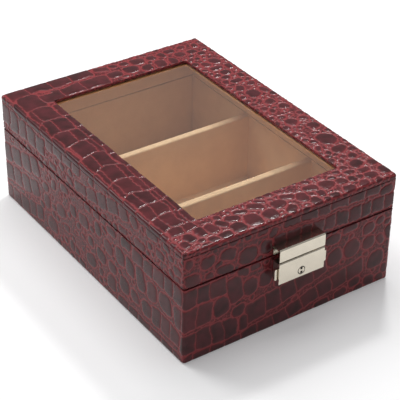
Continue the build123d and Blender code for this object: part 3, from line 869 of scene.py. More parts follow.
# %% Scales of the case's front
def case_front(scales, random):
    """Tall blocks on the left of the front; rows rise to the right below."""
    lay_rows(scales, random, on_front, (
        (((-92, 53.5), (-55, 52.5)), 3, (15, 14), 0.25),
        (((-92, 36), (-67, 35.5)), 2, (16, 16), 0.3),
        (((-93, 15.5), (-46, 15.5)), 4, (16, 15), 0.3),
        (((-37.5, 19), (-11, 25.5), (30, 35.5)), 5, (17, 12), 0.3),
        (((-93, 2), (-36, 2.5), (0, 7.5), (28, 15.5), (64, 21.5)), 12, (6, 13), 0.3),
        (((-16, 52), (24, 54)), 3, (13, 12), 0.4),
    ))
    lay_singles(scales, random, on_front, (
        (-48.5, 46, 11, 20, 8), (-59, 36, 12, 15, 8), (-36, 43.5, 11.5, 14.5, 4), (-22.5, 45, 11, 14),
        (-42, 58, 9, 6, -20), (-32, 58.5, 8, 4.5), (-44, 27.5, 10, 7.5), (-40, 15.5, 7.5, 12.5),
        (36, 55, 12, 8, -15), (50, 58, 12, 5.5), (68, 53, 11, 8, 10), (88, 42, 6, 13, 10),
        (37.5, 39, 13, 12.5, 10), (53, 40.5, 14.5, 14), (69.5, 40.5, 12, 12), (80.5, 39, 5, 9, 15),
        (76.5, 22.5, 15, 14), (46, 5, 10, 6.5, 5), (58, 9, 9, 7, 15), (71.5, 5, 10.5, 8.5),
        (82, 4.5, 7, 4.5), (29, 2, 13, 7, 12), (86.5, 11, 6, 8),
    ))


print("the middle of the front lies", round(on_front(0, 0)[0], 1), "mm along the strip")

# %% Scales of the case's left side
def case_left(scales, random):
    """Blocks at the front end, ovals in the middle, slanted rows behind."""
    lay_rows(scales, random, on_left, (
        (((-123.5, 54), (-63.5, 54.5)), 5, (13, 11), 0.4),
        (((-120.5, 18), (-86.5, 18.5)), 3, (14, 14), 0.3),
        (((-126, 1), (-43, 3.5)), 6, (7, 9), 0.3),
        (((69.5, 54), (126, 41)), 4, (14, 15), 0.55),
        (((69.5, 34), (126, 23.5)), 4, (14, 15), 0.5),
        (((65.5, 14), (126, 4.5)), 5, (12.5, 13), 0.5),
    ))
    lay_singles(scales, random, on_left, (
        (-119.5, 36, 8.5, 16), (-104.5, 37, 16, 15.5), (-87, 37, 11.5, 15.5), (-73, 39, 11, 18, -5),
        (-59, 40, 12, 13.5), (-45.5, 41.5, 11, 14), (-30.5, 41, 11, 11.5), (-16, 48, 9, 11.5, -10),
        (-80, 18, 11.5, 13), (-65.5, 19, 11, 10.5), (-51, 20, 13.5, 13, 10), (-35, 26, 10.5, 10),
        (-20, 27.5, 13, 9, 20), (-35, 12, 11.5, 12.5), (-20, 12, 7, 7), (-6, 15.5, 13.5, 12, -15),
        (-54, 56.5, 14, 8), (-34.5, 57, 12.5, 7, 5), (-15, 58.5, 10, 4.5), (-2, 57.5, 9, 5.5),
        (-5, 31, 7.5, 8), (4.5, 44, 13, 11), (19, 44.5, 9, 8.5), (37.5, 34, 13.5, 9.5, -15),
        (30.5, 56, 12, 7), (48, 51, 7.5, 9), (60, 42.5, 9, 9), (58, 30, 9.5, 11), (51, 14, 14.5, 13.5),
        (28.5, 22.5, 8.5, 7), (22.5, 11, 7, 7.5), (8, 4, 9, 6, 10),
    ))


print("the middle of the left side lies", round(on_left(0, 0)[0], 1), "mm along the strip")

# %% Layout round the case
CASE_SEED = 11
CASE_SCALES_Z = (0, 64)


def case_scales():
    """The layout of the strip round the case."""
    random = np.random.RandomState(CASE_SEED)
    scales = []
    case_front(scales, random)
    case_left(scales, random)
    lay_rows(scales, random, on_right, (
        (((-126, 52), (-20, 54)), 9, (15, 13), 0.4),
        (((-126, 35), (0, 37)), 11, (16, 14), 0.6),
        (((-126, 17), (126, 12)), 22, (15, 12), 0.4),
        (((-126, 2), (126, 0)), 22, (9, 7), 0.4),
        (((40, 54), (126, 52)), 7, (13, 15), 0.6),
        (((30, 33), (126, 36)), 8, (13, 14), 0.7),
    ))
    lay_rows(scales, random, on_back, (
        (((-90, 54), (90, 53)), 13, (13, 13), 0.4),
        (((-90, 38), (90, 37)), 12, (15, 15), 0.4),
        (((-90, 20), (90, 20)), 13, (16, 16), 0.3),
        (((-90, 4), (90, 4)), 12, (11, 11), 0.4),
    ))
    wrap_round(scales)
    low, high = zip((-PEBBLE_PAST, AROUND + PEBBLE_PAST), CASE_SCALES_Z)
    pebbles(scales, random, low, high, STRIP_PEBBLES)
    return scales


scales_of_case = case_scales()
print("scales round the case:", len(scales_of_case))

# %% [markdown]
# The case cover starts under the floor, runs up the four sides, turns over
# the rim and ends inside. Its profile is drawn from point to point, and each
# point says how much of the embossing it takes, which fades where the leather
# is folded and glued.

# %% Case cover
SEAM_EASE = 0.3
RIM_Z = OUTER_HIGH[2] - SEAM_EASE
LOW_Z = OUTER_LOW[2]
EDGE_R = 0.6
TURN_IN = 8.3
TURN_UNDER = 10.8
KEPT = (70.0, 100.0)
FOOT_SHARE = 0.4
UNDER_STEP, FOLD_STEP, INNER_STEP = 3.0, 1.5, 15.0
CASE_HIDE_Z = (-4.0, 72.0)
CASE_HIDE_SEED = 21

columns = ring_columns([sign * edge for sign in (-1, 1) for edge in NOTCH_X])
profile = []
run(profile, TURN_UNDER, LOW_Z, LOW_Z - TURN_UNDER, GLUED)
run(profile, EDGE_R, LOW_Z, LOW_Z - EDGE_R, GLUED, UNDER_STEP)
turn_over(profile, EDGE_R, LOW_Z + EDGE_R, EDGE_R, 270, 180, FOOT_SHARE)
run(profile, 0.0, RIM_Z - THICK, RIM_Z - THICK, PRESSED, GRID_STEP)
run(profile, 0.0, RIM_Z - EDGE_R, RIM_Z - EDGE_R, PRESSED)
turn_over(profile, EDGE_R, RIM_Z - EDGE_R, EDGE_R, 180, 90, ROUNDED)
run(profile, NOTCH_IN, RIM_Z, RIM_Z + NOTCH_IN, FOLDED, FOLD_STEP)
run(profile, TURN_IN, RIM_Z, RIM_Z + TURN_IN, GLUED)
run(profile, TURN_IN, RIM_Z - THICK, RIM_Z + TURN_IN, GLUED)
run(profile, NOTCH_IN, RIM_Z - THICK, RIM_Z, GLUED)
run(profile, THICK, RIM_Z - THICK, RIM_Z, GLUED, UNDER_STEP)
run(profile, THICK, LOW_Z + THICK, LOW_Z, GLUED, INNER_STEP)
run(profile, TURN_UNDER, LOW_Z + THICK, LOW_Z, GLUED)

case_low, case_high = zip((HIDE_FROM, HIDE_TO), CASE_HIDE_Z)
case_hide = press(scales_of_case, case_low, case_high, AROUND, CASE_HIDE_SEED)
leather_ring(
    "case_leather", "base_leather", "base", profile, columns, case_hide, strip_flat(columns),
    kept=KEPT, notch=(RIM_Z, RIM_Z - THICK),
)
print("the case cover is", RIM_Z - LOW_Z, "mm high")

# %% [markdown]
# The lid's walls wear a narrower strip. At the back of the left side it has
# one row of tall scales, and toward the front two rows of ovals. The right
# half of the front has two neat rows of blocks.

# %% Scales of the lid's front and left side
def lid_front(scales, random):
    """Ovals on the left of the front and two rows of blocks on the right."""
    lay_rows(scales, random, on_front, (
        (((-16, 71), (90, 70)), 10, (11.5, 11.5), 0.3),
        (((-9, 85), (75, 85)), 6, (10, 9), 0.3),
    ))
    lay_singles(scales, random, on_front, (
        (-70, 78, 12, 8.5, 5), (-54, 77, 12, 8.5, -15), (-38, 71, 14.5, 13.5), (-23, 71.5, 10.5, 11.5),
        (-83, 67.5, 13, 10), (-56, 66, 13, 6.5), (-69, 66, 7, 5.5), (-86, 82, 7, 7), (-61, 71.5, 5, 4),
        (81, 80.5, 11, 7), (-40, 86, 6, 4), (-27, 84.5, 9, 5),
    ))


def lid_left(scales, random):
    """Tall blocks behind, a row that dips forward, ovals at the front end."""
    lay_rows(scales, random, on_left, (
        (((58.5, 76.5), (126, 76.5)), 5, (14, 16), 0.4),
        (((7, 84), (57.5, 83.5)), 4, (9, 11), 0.4),
        (((-57, 83), (-20.5, 75.5), (-4, 71), (15, 69.5)), 5, (12, 9), 0.6),
    ))
    lay_singles(scales, random, on_left, (
        (-65, 81, 10.5, 9.5), (-87.5, 84.5, 14, 8), (-97.5, 73, 11, 6), (-71.5, 67.5, 13.5, 6.5),
        (-51, 67, 12, 5), (-118, 73, 9, 6.5), (-105, 84, 7, 5.5, 20), (-84, 74, 6, 5), (-118, 87, 7, 5),
        (22, 68, 9, 5), (47, 67.5, 11, 5),
    ))


print("the lid's front and left side have their scales")

# %% Layout round the lid
LID_LOW, LID_HIGH = corners_mm("lid_side_leather")
LID_SEED = 12
LID_SCALES_Z = (LID_LOW[2] - 1, LID_HIGH[2] + 1)


def lid_wall_scales():
    """The layout of the strip round the lid's walls."""
    random = np.random.RandomState(LID_SEED)
    scales = []
    lid_front(scales, random)
    lid_left(scales, random)
    lay_rows(scales, random, on_right, (
        (((-126, 70), (20, 71)), 13, (12, 11), 0.4),
        (((-126, 83), (10, 82)), 12, (11, 10), 0.5),
        (((50, 76), (126, 76)), 7, (15, 17), 0.5),
    ))
    lay_rows(scales, random, on_back, (
        (((-90, 77), (90, 76)), 11, (20, 18), 0.35),
    ))
    wrap_round(scales)
    low, high = zip((-PEBBLE_PAST, AROUND + PEBBLE_PAST), LID_SCALES_Z)
    pebbles(scales, random, low, high, STRIP_PEBBLES)
    return scales


scales_of_walls = lid_wall_scales()
print("scales round the lid:", len(scales_of_walls))

# %% Lid wall cover
LID_EDGE_Z = LID_LOW[2] + SEAM_EASE
LID_HIDE_Z = (LID_LOW[2] - 10, LID_HIGH[2] + 6)
LID_HIDE_SEED = 22
LID_INNER_STEP = 12.0

lid_profile = []
run(lid_profile, TURN_IN, LID_EDGE_Z, LID_EDGE_Z - TURN_IN, GLUED)
run(lid_profile, NOTCH_IN, LID_EDGE_Z, LID_EDGE_Z - NOTCH_IN, GLUED)
run(lid_profile, EDGE_R, LID_EDGE_Z, LID_EDGE_Z - EDGE_R, FOLDED, FOLD_STEP)
turn_over(lid_profile, EDGE_R, LID_EDGE_Z + EDGE_R, EDGE_R, 270, 180, ROUNDED)
run(lid_profile, 0.0, LID_EDGE_Z + THICK, LID_EDGE_Z + THICK, PRESSED)
run(lid_profile, 0.0, LID_HIGH[2] - EDGE_R, LID_HIGH[2] - EDGE_R, PRESSED, GRID_STEP)
turn_over(lid_profile, EDGE_R, LID_HIGH[2] - EDGE_R, EDGE_R, 180, 90, ROUNDED)
run(lid_profile, THICK, LID_HIGH[2], LID_HIGH[2] + THICK, GLUED)
run(lid_profile, THICK, LID_EDGE_Z + THICK, LID_HIGH[2], GLUED, LID_INNER_STEP)
run(lid_profile, NOTCH_IN, LID_EDGE_Z + THICK, LID_HIGH[2], GLUED)
run(lid_profile, TURN_IN, LID_EDGE_Z + THICK, LID_HIGH[2], GLUED)

lid_low, lid_high = zip((HIDE_FROM, HIDE_TO), LID_HIDE_Z)
lid_hide = press(scales_of_walls, lid_low, lid_high, AROUND, LID_HIDE_SEED)
leather_ring(
    "lid_wall_leather", "lid_side_leather", "lid", lid_profile, columns, lid_hide, strip_flat(columns),
    kept=KEPT, notch=(LID_EDGE_Z, LID_EDGE_Z + THICK),
)
print("the lid's walls are", LID_HIGH[2] - LID_EDGE_Z, "mm high")

# %% [markdown]
# The lid's top is a frame board under its own leather, which rounds over the
# outer edge and folds down into the window. Here the hide shows best. Large
# bowed scales run down the left, long ones along the back turn into pebbles,
# and the right side and the front mix pebbles with slanted scales.

# %% Scales on the left of the top
LEFT_EDGE = (-99, -87.2)
BELT_ROUNDING = 0.4


def top_left(scales, random):
    """Belts of blocks down the left: two ends and the edges between blocks."""
    belts = (
        (113, 92, (-86.5, -67)), (92, 72, (-86.5, -82.5, -67)), (72, 52.5, (-86.5, -78, -66.5)),
        (52.5, 33.5, (-86.5, -73.5, -66)), (33.5, 14, (-84, -70, -65.5)), (14, -7.5, (-86.5, -77.5, -67)),
        (-7.5, -26.5, (-86, -82.5, -70.5, -65.5)), (-26.5, -46, (-86, -82.5, -70.5, -65.5)),
        (-46, -62.5, (-86, -78, -68.5, -65)), (-62.5, -78.5, (-86, -78.5, -68.5, -65)),
        (-78.5, -96, (-86, -79.5, -68.5, -65)), (-96, -105, (-84.5, -74, -66)),
    )
    for top, bottom, edges in belts:
        for low, high in (LEFT_EDGE, *zip(edges, edges[1:])):
            middle = (low + high) / 2, (top + bottom) / 2
            single(scales, random, *middle, high - low, top - bottom, rounding=BELT_ROUNDING)
    row(scales, random, ((-62.5, 92), (-62.5, -96)), 11, (5.5, 5.5))


print("the left of the top has its belts of scales")

# %% Scales along the back and the right of the top
def on_top(x, y):
    """A place on the top's hide for a point of the top."""
    return x, y


def top_back(scales, random):
    """Long blocks along the back that give way to ovals and pebbles."""
    lay_rows(scales, random, on_top, (
        (((-87, 123), (-71, 122)), 1, (18, 18), 0.2),
        (((-71, 121.5), (-14, 120.5)), 3, (15, 14), 0.25),
        (((-67, 103.5), (-8, 103.5)), 3, (13, 13), 0.25),
    ))
    lay_singles(scales, random, on_top, (
        (-5, 119, 12, 6, -15), (-0.6, 106.6, 13, 10), (15.3, 106.6, 13, 10.5), (15.3, 118, 7.5, 6),
        (26, 115, 11, 9, -10), (38, 114, 7.5, 8), (48.5, 113.5, 7, 8), (57.5, 116, 8, 6),
        (61.5, 107.5, 8, 7, 10), (72, 106, 7.5, 7), (69, 117, 6.5, 5), (79.5, 114, 5.5, 6.5),
        (28, 102, 8, 10), (40, 102, 8, 10), (51, 102, 7, 9), (77, 98.5, 7, 5.5),
    ))


def top_right(scales, random):
    """Ovals down the right, far apart, one of them large."""
    lay_singles(scales, random, on_top, (
        (69.5, 92, 4.5, 4.5), (79, 83, 8.5, 9), (69.5, 80.5, 6, 6.5), (72.5, 72, 9, 6.5), (83, 70, 6, 7.5),
        (75, 62, 8, 8), (82.5, 53.5, 5.5, 6.5), (74.5, 47.5, 8, 6, 20), (69.5, 35.5, 8.5, 6, 50),
        (81.5, 37, 7, 7.5), (72.5, 23, 8.5, 12.5), (83, 23, 6.5, 8), (70, 10, 7, 3.5, 40), (77, 5, 8, 7),
        (80.5, -6, 8, 8), (69.5, -7.5, 4.5, 5), (69.5, -19.5, 6, 5), (71.5, -29, 9.5, 8, 30),
        (82, -40, 9, 8.5), (68, -48, 4.5, 4.5), (77.5, -61, 14.5, 13, 20), (77.5, -77, 10, 10),
        (72.5, -87, 6, 5), (79, -90, 7, 5.5, 30),
    ))


print("the back and the right of the top have their scales")

# %% Scales along the front of the top
def top_front(scales, random):
    """Leaning ovals on the left of the front, rounder ones on the right."""
    lay_singles(scales, random, on_top, (
        (-75.5, -112, 8, 10.5, 15), (-66.5, -110, 5.5, 11, 15), (-58.5, -110.5, 7.5, 11.5, 20),
        (-49.3, -109.5, 7, 10.5, 40), (-40, -108, 11, 6.5, -35), (-31, -105.5, 10, 5, -25),
        (-20, -106, 12, 6, -30), (-13, -103, 8, 4, -20), (-3.4, -110.5, 11, 10), (6, -106.5, 11, 6, -25),
        (14.8, -113.8, 9, 10), (26, -107.5, 11, 7, -10), (39, -110, 11, 9), (49.4, -111.5, 8, 8),
        (58, -113, 6.5, 6), (62.5, -106, 7.5, 4.5), (73, -108.5, 9.5, 5.5), (74, -100, 10, 7.5, 10),
        (73, -117.5, 10, 8.5), (84.5, -104, 7, 8), (86, -116.5, 9, 9), (-82.5, -117, 6, 8),
        (-63, -121.5, 8, 6), (-53.4, -121, 8.5, 7), (-41.5, -119, 11, 11), (-28.4, -117.5, 12, 12.5),
        (-14.3, -118, 11, 12.5), (1.6, -121, 9.5, 7.5, 30), (20.7, -122, 9, 8), (29.4, -116.5, 4.5, 8),
        (37, -123, 8, 6), (50, -122, 9, 7), (62, -122, 8, 7),
    ))


print("the front of the top has its scales")

# %% Layout of the top
TOP_SEED = 13
TOP_SPAN = (98.0, 134.0)
TOP_PEBBLES, TOP_TRIES = (5.5, 3.4), 2200


def lid_top_scales():
    """The layout of the lid's top, in the box's own x and y."""
    random = np.random.RandomState(TOP_SEED)
    scales = []
    top_left(scales, random)
    top_back(scales, random)
    top_right(scales, random)
    top_front(scales, random)
    pebbles(scales, random, (-TOP_SPAN[0], -TOP_SPAN[1]), TOP_SPAN, TOP_PEBBLES, TOP_TRIES)
    return scales


scales_of_top = lid_top_scales()
print("scales of the lid's top:", len(scales_of_top))

# %% Arch of the belts on the left
ARCH_X, ARCH_HALF = -75.0, 11.0
ARCH_REACH = (-17, 10)
ARCH_END_X = -55
ARCH_RISE, ARCH_MORE = 2.8, 0.8
MORE_FROM, MORE_OVER = -20, 60
FRONT_FROM, FRONT_OVER = -106, 20
BACK_FROM, BACK_OVER = 108, 8


def left_arch(x, y):
    """The belts on the left arch: they sag towards both sides of the strip."""
    across = np.clip(x - ARCH_X, *ARCH_REACH) / ARCH_HALF
    rise = ARCH_RISE + ARCH_MORE * smooth((y - MORE_FROM) / MORE_OVER)
    front = smooth((y - FRONT_FROM) / FRONT_OVER)
    back = 1 - smooth((y - BACK_FROM) / BACK_OVER)
    return rise * across**2 * front * back * (x < ARCH_END_X)


print("the belts rise", ARCH_RISE, "to", ARCH_RISE + ARCH_MORE, "mm")

# %% Measures of the lid's top
TOP_LOW, TOP_HIGH = corners_mm("lid_top_leather")
BORDER = 30.0
WINDOW_R = 2.0
TOP_R = 2.0
WINDOW_EDGE = 0.7
EDGE_DROP = 0.22
OUTER_SLOPE, INNER_SLOPE = 5.4, 3.8
GLASS_CLEAR = 0.05
REBATE_Z = round(corners_mm("window_glass")[1][2] + GLASS_CLEAR, 3)
BOARD_TOP = TOP_HIGH[2] - THICK
BOARD_EASE = 0.7
EDGE_Z = TOP_HIGH[2] - EDGE_DROP
TOP_ARC = math.pi / 2 * TOP_R
SIDE_DROP = EDGE_Z - TOP_R - TOP_LOW[2] - EDGE_R


def top_flat(place):
    """The top laid flat: insets go on over both edges."""
    place = np.asarray(place)
    return ring_points(top_columns, place, corner_radius(place, WINDOW_R, BORDER))


def down_the_side(height):
    """The place on the hide of a point of the top's outer side."""
    return -TOP_ARC + TOP_R - SIDE_DROP - (TOP_LOW[2] + EDGE_R - height)


print("the window is", 2 * (HALF_X - BORDER), "by", 2 * (HALF_Y - BORDER), "mm")

# %% Lid top cover
TOP_HIDE_SEED = 23
TOP_INNER_STEP = 7.0
LIP_SHARE, REBATE_SHARE = 0.7, 0.5
INTO_REBATE, UNDER_LIP, UNDER_BOARD = 3.0, 3.8, 4.0

top_columns = ring_columns()
top_profile = []
run(top_profile, THICK, TOP_LOW[2], 0.0, GLUED)
run(top_profile, EDGE_R, TOP_LOW[2], 0.0, ROUNDED)
turn_over(top_profile, EDGE_R, TOP_LOW[2] + EDGE_R, EDGE_R, 270, 180, ROUNDED)
top_profile = [(inset, z, down_the_side(z), share) for inset, z, _, share in top_profile]
run(top_profile, 0.0, EDGE_Z - TOP_R, -TOP_ARC + TOP_R, ROUNDED, GRID_STEP)
turn_over(top_profile, TOP_R, EDGE_Z - TOP_R, TOP_R, 180, 90, ROUNDED, count=6)
run(top_profile, OUTER_SLOPE, TOP_HIGH[2], OUTER_SLOPE, PRESSED, GRID_STEP)
run(top_profile, BORDER - INNER_SLOPE, TOP_HIGH[2], BORDER - INNER_SLOPE, PRESSED, GRID_STEP)
run(top_profile, BORDER - WINDOW_EDGE, EDGE_Z, BORDER - WINDOW_EDGE, PRESSED, GRID_STEP)
turn_over(top_profile, BORDER - WINDOW_EDGE, EDGE_Z - WINDOW_EDGE, WINDOW_EDGE, 90, 0, LIP_SHARE)
run(top_profile, BORDER, REBATE_Z, BORDER + INTO_REBATE, REBATE_SHARE, GRID_STEP)
run(top_profile, BORDER - THICK, REBATE_Z, BORDER + UNDER_LIP, GLUED)
run(top_profile, BORDER - THICK, BOARD_TOP, BORDER + UNDER_BOARD, GLUED)
run(top_profile, THICK + BOARD_EASE, BOARD_TOP, BORDER + UNDER_BOARD, GLUED, TOP_INNER_STEP)
run(top_profile, THICK, BOARD_TOP - BOARD_EASE, 0.0, GLUED)

top_low = (-TOP_SPAN[0], -TOP_SPAN[1])
top_hide = press(scales_of_top, top_low, TOP_SPAN, 2 * TOP_SPAN[0], TOP_HIDE_SEED, left_arch)
leather_ring(
    "lid_top_leather_cover", "lid_top_leather", "lid", top_profile, top_columns, top_hide, top_flat,
    window=(WINDOW_R, BORDER),
)
print("the top's leather is", round(TOP_HIGH[2] - TOP_LOW[2], 2), "mm high at its sides")

# %% [markdown]
# Suede is leather with its flesh side out: a dense short nap that scatters
# light, a little patchy where it was brushed. The lining is suede glued over
# thin card, so each card is a flat slab with soft rounded edges.

# %% Suede finish
SUEDE_LIGHT = (0.85, 0.58, 0.335)
SUEDE_DARK = (0.735, 0.475, 0.268)
SUEDE_TIPS = (0.90, 0.70, 0.455)
SUEDE_SPECULAR = 0.15
SUEDE_SHEEN, SHEEN_ROUGHNESS = 0.25, 0.5


def make_suede(name, light, dark, tips):
    """Suede: brushed patches, a fine nap with lighter tips and a soft sheen."""
    material, tree, nap = start_material(name)
    place = object_place(tree)
    patches = noise(tree, place, 14.0, 4.0, 0.6)
    fibres = noise(tree, place, 0.5, 3.0, 0.7)
    colour = blend_colour(tree, ranged(tree, patches, 0.2, 0.8, 0.3, 0.7), light, dark)
    fill(tree, nap, {
        "Base Color": blend_colour(tree, ranged(tree, fibres, 0.0, 0.25, 0.4, 0.7), colour, tips),
        "Roughness": ranged(tree, fibres, 0.85, 1.0),
        "Specular IOR Level": SUEDE_SPECULAR,
        "Sheen Weight": SUEDE_SHEEN,
        "Sheen Roughness": SHEEN_ROUGHNESS,
        "Normal": bump(tree, fibres, 0.08, 0.5),
    })
    return material


suede = make_suede("tan_suede", SUEDE_LIGHT, SUEDE_DARK, SUEDE_TIPS)
print("suede finish:", suede.name)

# %% A slab with soft edges
CARD_EDGE = 0.35
CARD_STEP = 6.0


def lines_between(low, high, edge, step):
    """Grid lines of a slab, close together at its rounded edges."""
    near = edge * (1 - np.cos(np.linspace(0, math.pi / 2, 4)))
    inner = np.linspace(low + edge, high - edge, max(2, int((high - low) / step)) + 1)
    return np.unique(np.round(np.concatenate([low + near, inner, high - near]), 5))


def soft_slab(name, low, high, edge=CARD_EDGE, step=CARD_STEP):
    """A closed slab with rounded edges, from corner to corner in mm."""
    low, high = np.array(low), np.array(high)
    lines = [lines_between(a, b, edge, step) for a, b in zip(low, high)]
    points, faces, number = [], [], {}

    def point(p):
        """The number of a point, pulled in to the rounded edge."""
        key = tuple(np.round(p, 5))
        if key not in number:
            inner = np.clip(p, low + edge, high - edge)
            number[key] = len(points)
            points.append(inner + edge * unit(p - inner))
        return number[key]

    for axis in range(3):
        a, b = (axis + 1) % 3, (axis + 2) % 3
        for level, outward in ((low[axis], False), (high[axis], True)):
            for a0, a1 in zip(lines[a], lines[a][1:]):
                for b0, b1 in zip(lines[b], lines[b][1:]):
                    corners = []
                    for at_a, at_b in ((a0, b0), (a1, b0), (a1, b1), (a0, b1)):
                        p = np.zeros(3)
                        p[axis], p[a], p[b] = level, at_a, at_b
                        corners.append(point(p))
                    faces.append(np.array(corners if outward else corners[::-1]))
    return skin_object(name, np.array(points), faces)


print("edges of cards are rounded by", CARD_EDGE, "mm")

# %% Lining cards
CARD_GAP = 0.1

cards = [(half, f"{half}_{side}_lining") for half in ("base", "lid") for side in SIDES]
cards.append(("base", "base_floor_lining"))
for half, node in cards:
    low, high = corners_mm(node)
    if half == "lid":
        low[2] = LID_LOW[2] + CARD_GAP
    elif node != "base_floor_lining":
        high[2] = OUTER_HIGH[2] - CARD_GAP
    card = soft_slab(f"{node}_card", low, high)
    dress(card, node, half, suede)
print("suede cards:", len(cards))

# %% [markdown]
# Each divider is a board in a folded sleeve of suede. The sleeve is a profile
# drawn once, with a rounded fold at its top, and carried along the divider.

# %% Outline of a sleeve
SLEEVE_T = 1.0
SLEEVE_R = 1.3


def arc_points(y, z, radius, start, end, count=5):
    """Points of an arc in y and z, angles in degrees from +y to +z."""
    angles = np.radians(np.linspace(start, end, count))
    return [(y + radius * math.cos(a), z + radius * math.sin(a)) for a in angles]


def sleeve_outline(low, high):
    """The sleeve's outline in y and z: up one side, over the fold and back."""
    fold_z, roof_z = high[2] - SLEEVE_R, high[2] - SLEEVE_T
    inner_low, inner_high = low[1] + SLEEVE_T, high[1] - SLEEVE_T
    return [
        (high[1], low[2]),
        *arc_points(high[1] - SLEEVE_R, fold_z, SLEEVE_R, 0, 90),
        *arc_points(low[1] + SLEEVE_R, fold_z, SLEEVE_R, 90, 180),
        (low[1], low[2]), (inner_low, low[2]), (inner_low, roof_z),
        (inner_high, roof_z), (inner_high, low[2]),
    ]


print("sleeves are folded from", SLEEVE_T, "mm suede")

# %% Sleeves of the dividers
SLEEVE_STEP = 4.0
SHARP_FROM = 40.0


def carried(name, outline, x_low, x_high, step):
    """A closed outline in y and z, carried from x_low to x_high."""
    count = max(1, round((x_high - x_low) / step))
    levels = np.linspace(x_low, x_high, count + 1)
    size = len(outline)
    points = np.array([(x, y, z) for x in levels for y, z in outline])
    faces = []
    for k in range(count):
        for i in range(size):
            j = (i + 1) % size
            faces.append(np.array([k * size + i, k * size + j, (k + 1) * size + j, (k + 1) * size + i]))
    faces.append(np.arange(size)[::-1])
    faces.append(np.arange(size) + count * size)
    return skin_object(name, points, faces)


def keep_flat_ends(piece):
    """Smooth shading, but sharp where faces meet at an edge."""
    piece.data.set_sharp_from_angle(angle=math.radians(SHARP_FROM))


for number in (1, 2):
    node = f"divider_{number}_sleeve"
    low, high = corners_mm(node)
    sleeve = carried(f"divider_{number}_suede", sleeve_outline(low, high), low[0], high[0], SLEEVE_STEP)
    keep_flat_ends(sleeve)
    dress(sleeve, node, "base", suede)
    print(sleeve.name, "has", len(sleeve.data.polygons), "faces")

# %% [markdown]
# The frame that holds the glass up is a flat ring of browner suede over card.
# Its opening is a little larger than the window, so that it stays back under
# the leather and shows as a thin golden line round the glass. It is a ring
# like the covers, with fewer columns, because nothing is pressed into it.

# %% Frame under the glass
LINER_EDGE = 0.4
LINER_INSET = BORDER - 0.8
LINER_STEP = 7.0
LINER_COLUMNS = 8
TRIM_LIGHT = (0.86, 0.54, 0.27)
TRIM_DARK = (0.76, 0.46, 0.21)
TRIM_TIPS = (0.93, 0.66, 0.38)


def window_frame(name, low, high):
    """A flat ring with a rounded inner edge between two corners."""
    out, edge_z = HALF_X - high[0], low[2] + LINER_EDGE
    profile = []
    run(profile, LINER_INSET, edge_z, 0.0, GLUED)
    turn_over(profile, LINER_INSET - LINER_EDGE, edge_z, LINER_EDGE, 0, -90, GLUED)
    run(profile, out, low[2], 0.0, GLUED, LINER_STEP)
    run(profile, out, high[2], 0.0, GLUED)
    run(profile, LINER_INSET, high[2], 0.0, GLUED, LINER_STEP)
    inset, height = (np.array([point[k] for point in profile]) for k in (0, 1))
    x, y = ring_points(top_columns, inset, corner_radius(inset, WINDOW_R, BORDER))
    bends = np.where(np.diff(top_columns["angle"], prepend=0) != 0)[0]
    pick = np.unique(np.concatenate([np.arange(0, x.shape[1], LINER_COLUMNS), bends]))
    x, y = x[:, pick], y[:, pick]
    count, size = x.shape
    points = np.stack([x, y, np.repeat(height[:, None], size, 1)], axis=-1)
    here = np.arange(size)
    quads = ring_quads(count, size, here, (here + 1) % size)
    return skin_object(name, points.reshape(-1, 3), [*quads.reshape(-1, 4)])


liner = window_frame("window_liner_suede", *corners_mm("window_liner_frame"))
keep_flat_ends(liner)
trim_suede = make_suede("brown_trim_suede", TRIM_LIGHT, TRIM_DARK, TRIM_TIPS)
dress(liner, "window_liner_frame", "lid", trim_suede)
print("the frame under the glass has", len(liner.data.polygons), "faces")

# %% [markdown]
# Glass in a thin pane mostly lets light through, and mirrors more of it the
# flatter it is seen. A transparent shader mixed with a gloss by its Fresnel
# share does that without bending light, which a thin pane doesn't do either.
# The face where light comes in mirrors for both faces of the pane, and the
# face where it goes out mirrors nothing.

# %% Glass
GLASS_IOR = 1.52
GLASS_TINT = (0.98, 0.985, 0.98)
GLASS_GLOSS = (1.0, 1.0, 1.0)
BOTH_FACES = 2.0


def make_glass():
    """A clear pane with a faint haze of dust in its gloss."""
    material, tree, principled = start_material("clear_glass")
    tree.nodes.remove(principled)
    clear = add_node(tree, "ShaderNodeBsdfTransparent", {"Color": GLASS_TINT}).outputs[0]
    haze = ranged(tree, noise(tree, object_place(tree), 25.0, 3.0), 0.02, 0.06)
    gloss_sockets = {"Color": GLASS_GLOSS, "Roughness": haze}
    gloss = add_node(tree, "ShaderNodeBsdfAnisotropic", gloss_sockets).outputs[0]
    fresnel = add_node(tree, "ShaderNodeFresnel", {"IOR": GLASS_IOR}).outputs[0]
    behind = add_node(tree, "ShaderNodeNewGeometry").outputs["Backfacing"]
    share = maths(tree, "MULTIPLY", fresnel, BOTH_FACES)
    share = maths(tree, "MULTIPLY", share, ranged(tree, behind, 1.0, 0.0))
    mixed = add_node(tree, "ShaderNodeMixShader", {0: share, 1: clear, 2: gloss}).outputs[0]
    tree.links.new(mixed, tree.nodes["Material Output"].inputs["Surface"])
    return material


def wear(names, material):
    """Give carried-over nodes a finish."""
    for name in names:
        mesh = frame["nodes"][name].data
        mesh.materials.clear()
        mesh.materials.append(material)


wear(["window_glass"], make_glass())
print("glass index:", GLASS_IOR)

# %% [markdown]
# The keyhole is cut into the key cylinder. The depth of its slot, its two
# round mouths and the thin ring between the cylinder and the plate lie in
# shade, and at this size geometry alone would lose that line, so the shade is
# painted: the metal's colour is darkened to black by the distance from the
# key's own axis, which the construction model gives.

# %% Painted shade round the key
key_joint = next(j for j in frame["record"]["behaviour"]["joints"] if j["name"] == "key_turn")
KEY_DEEP = (0.35, 0.5)
KEY_RING_IN, KEY_RING_OUT = (2.45, 2.65), (2.95, 3.15)
KEY_HOLE_UP = 1.6
KEY_HOLE = (0.9, 1.1)
# painted shade: the black painted into the keyhole, its mouths and the ring gap round the key
PAINTED_SHADE_BLACK = (0.012, 0.010, 0.008)


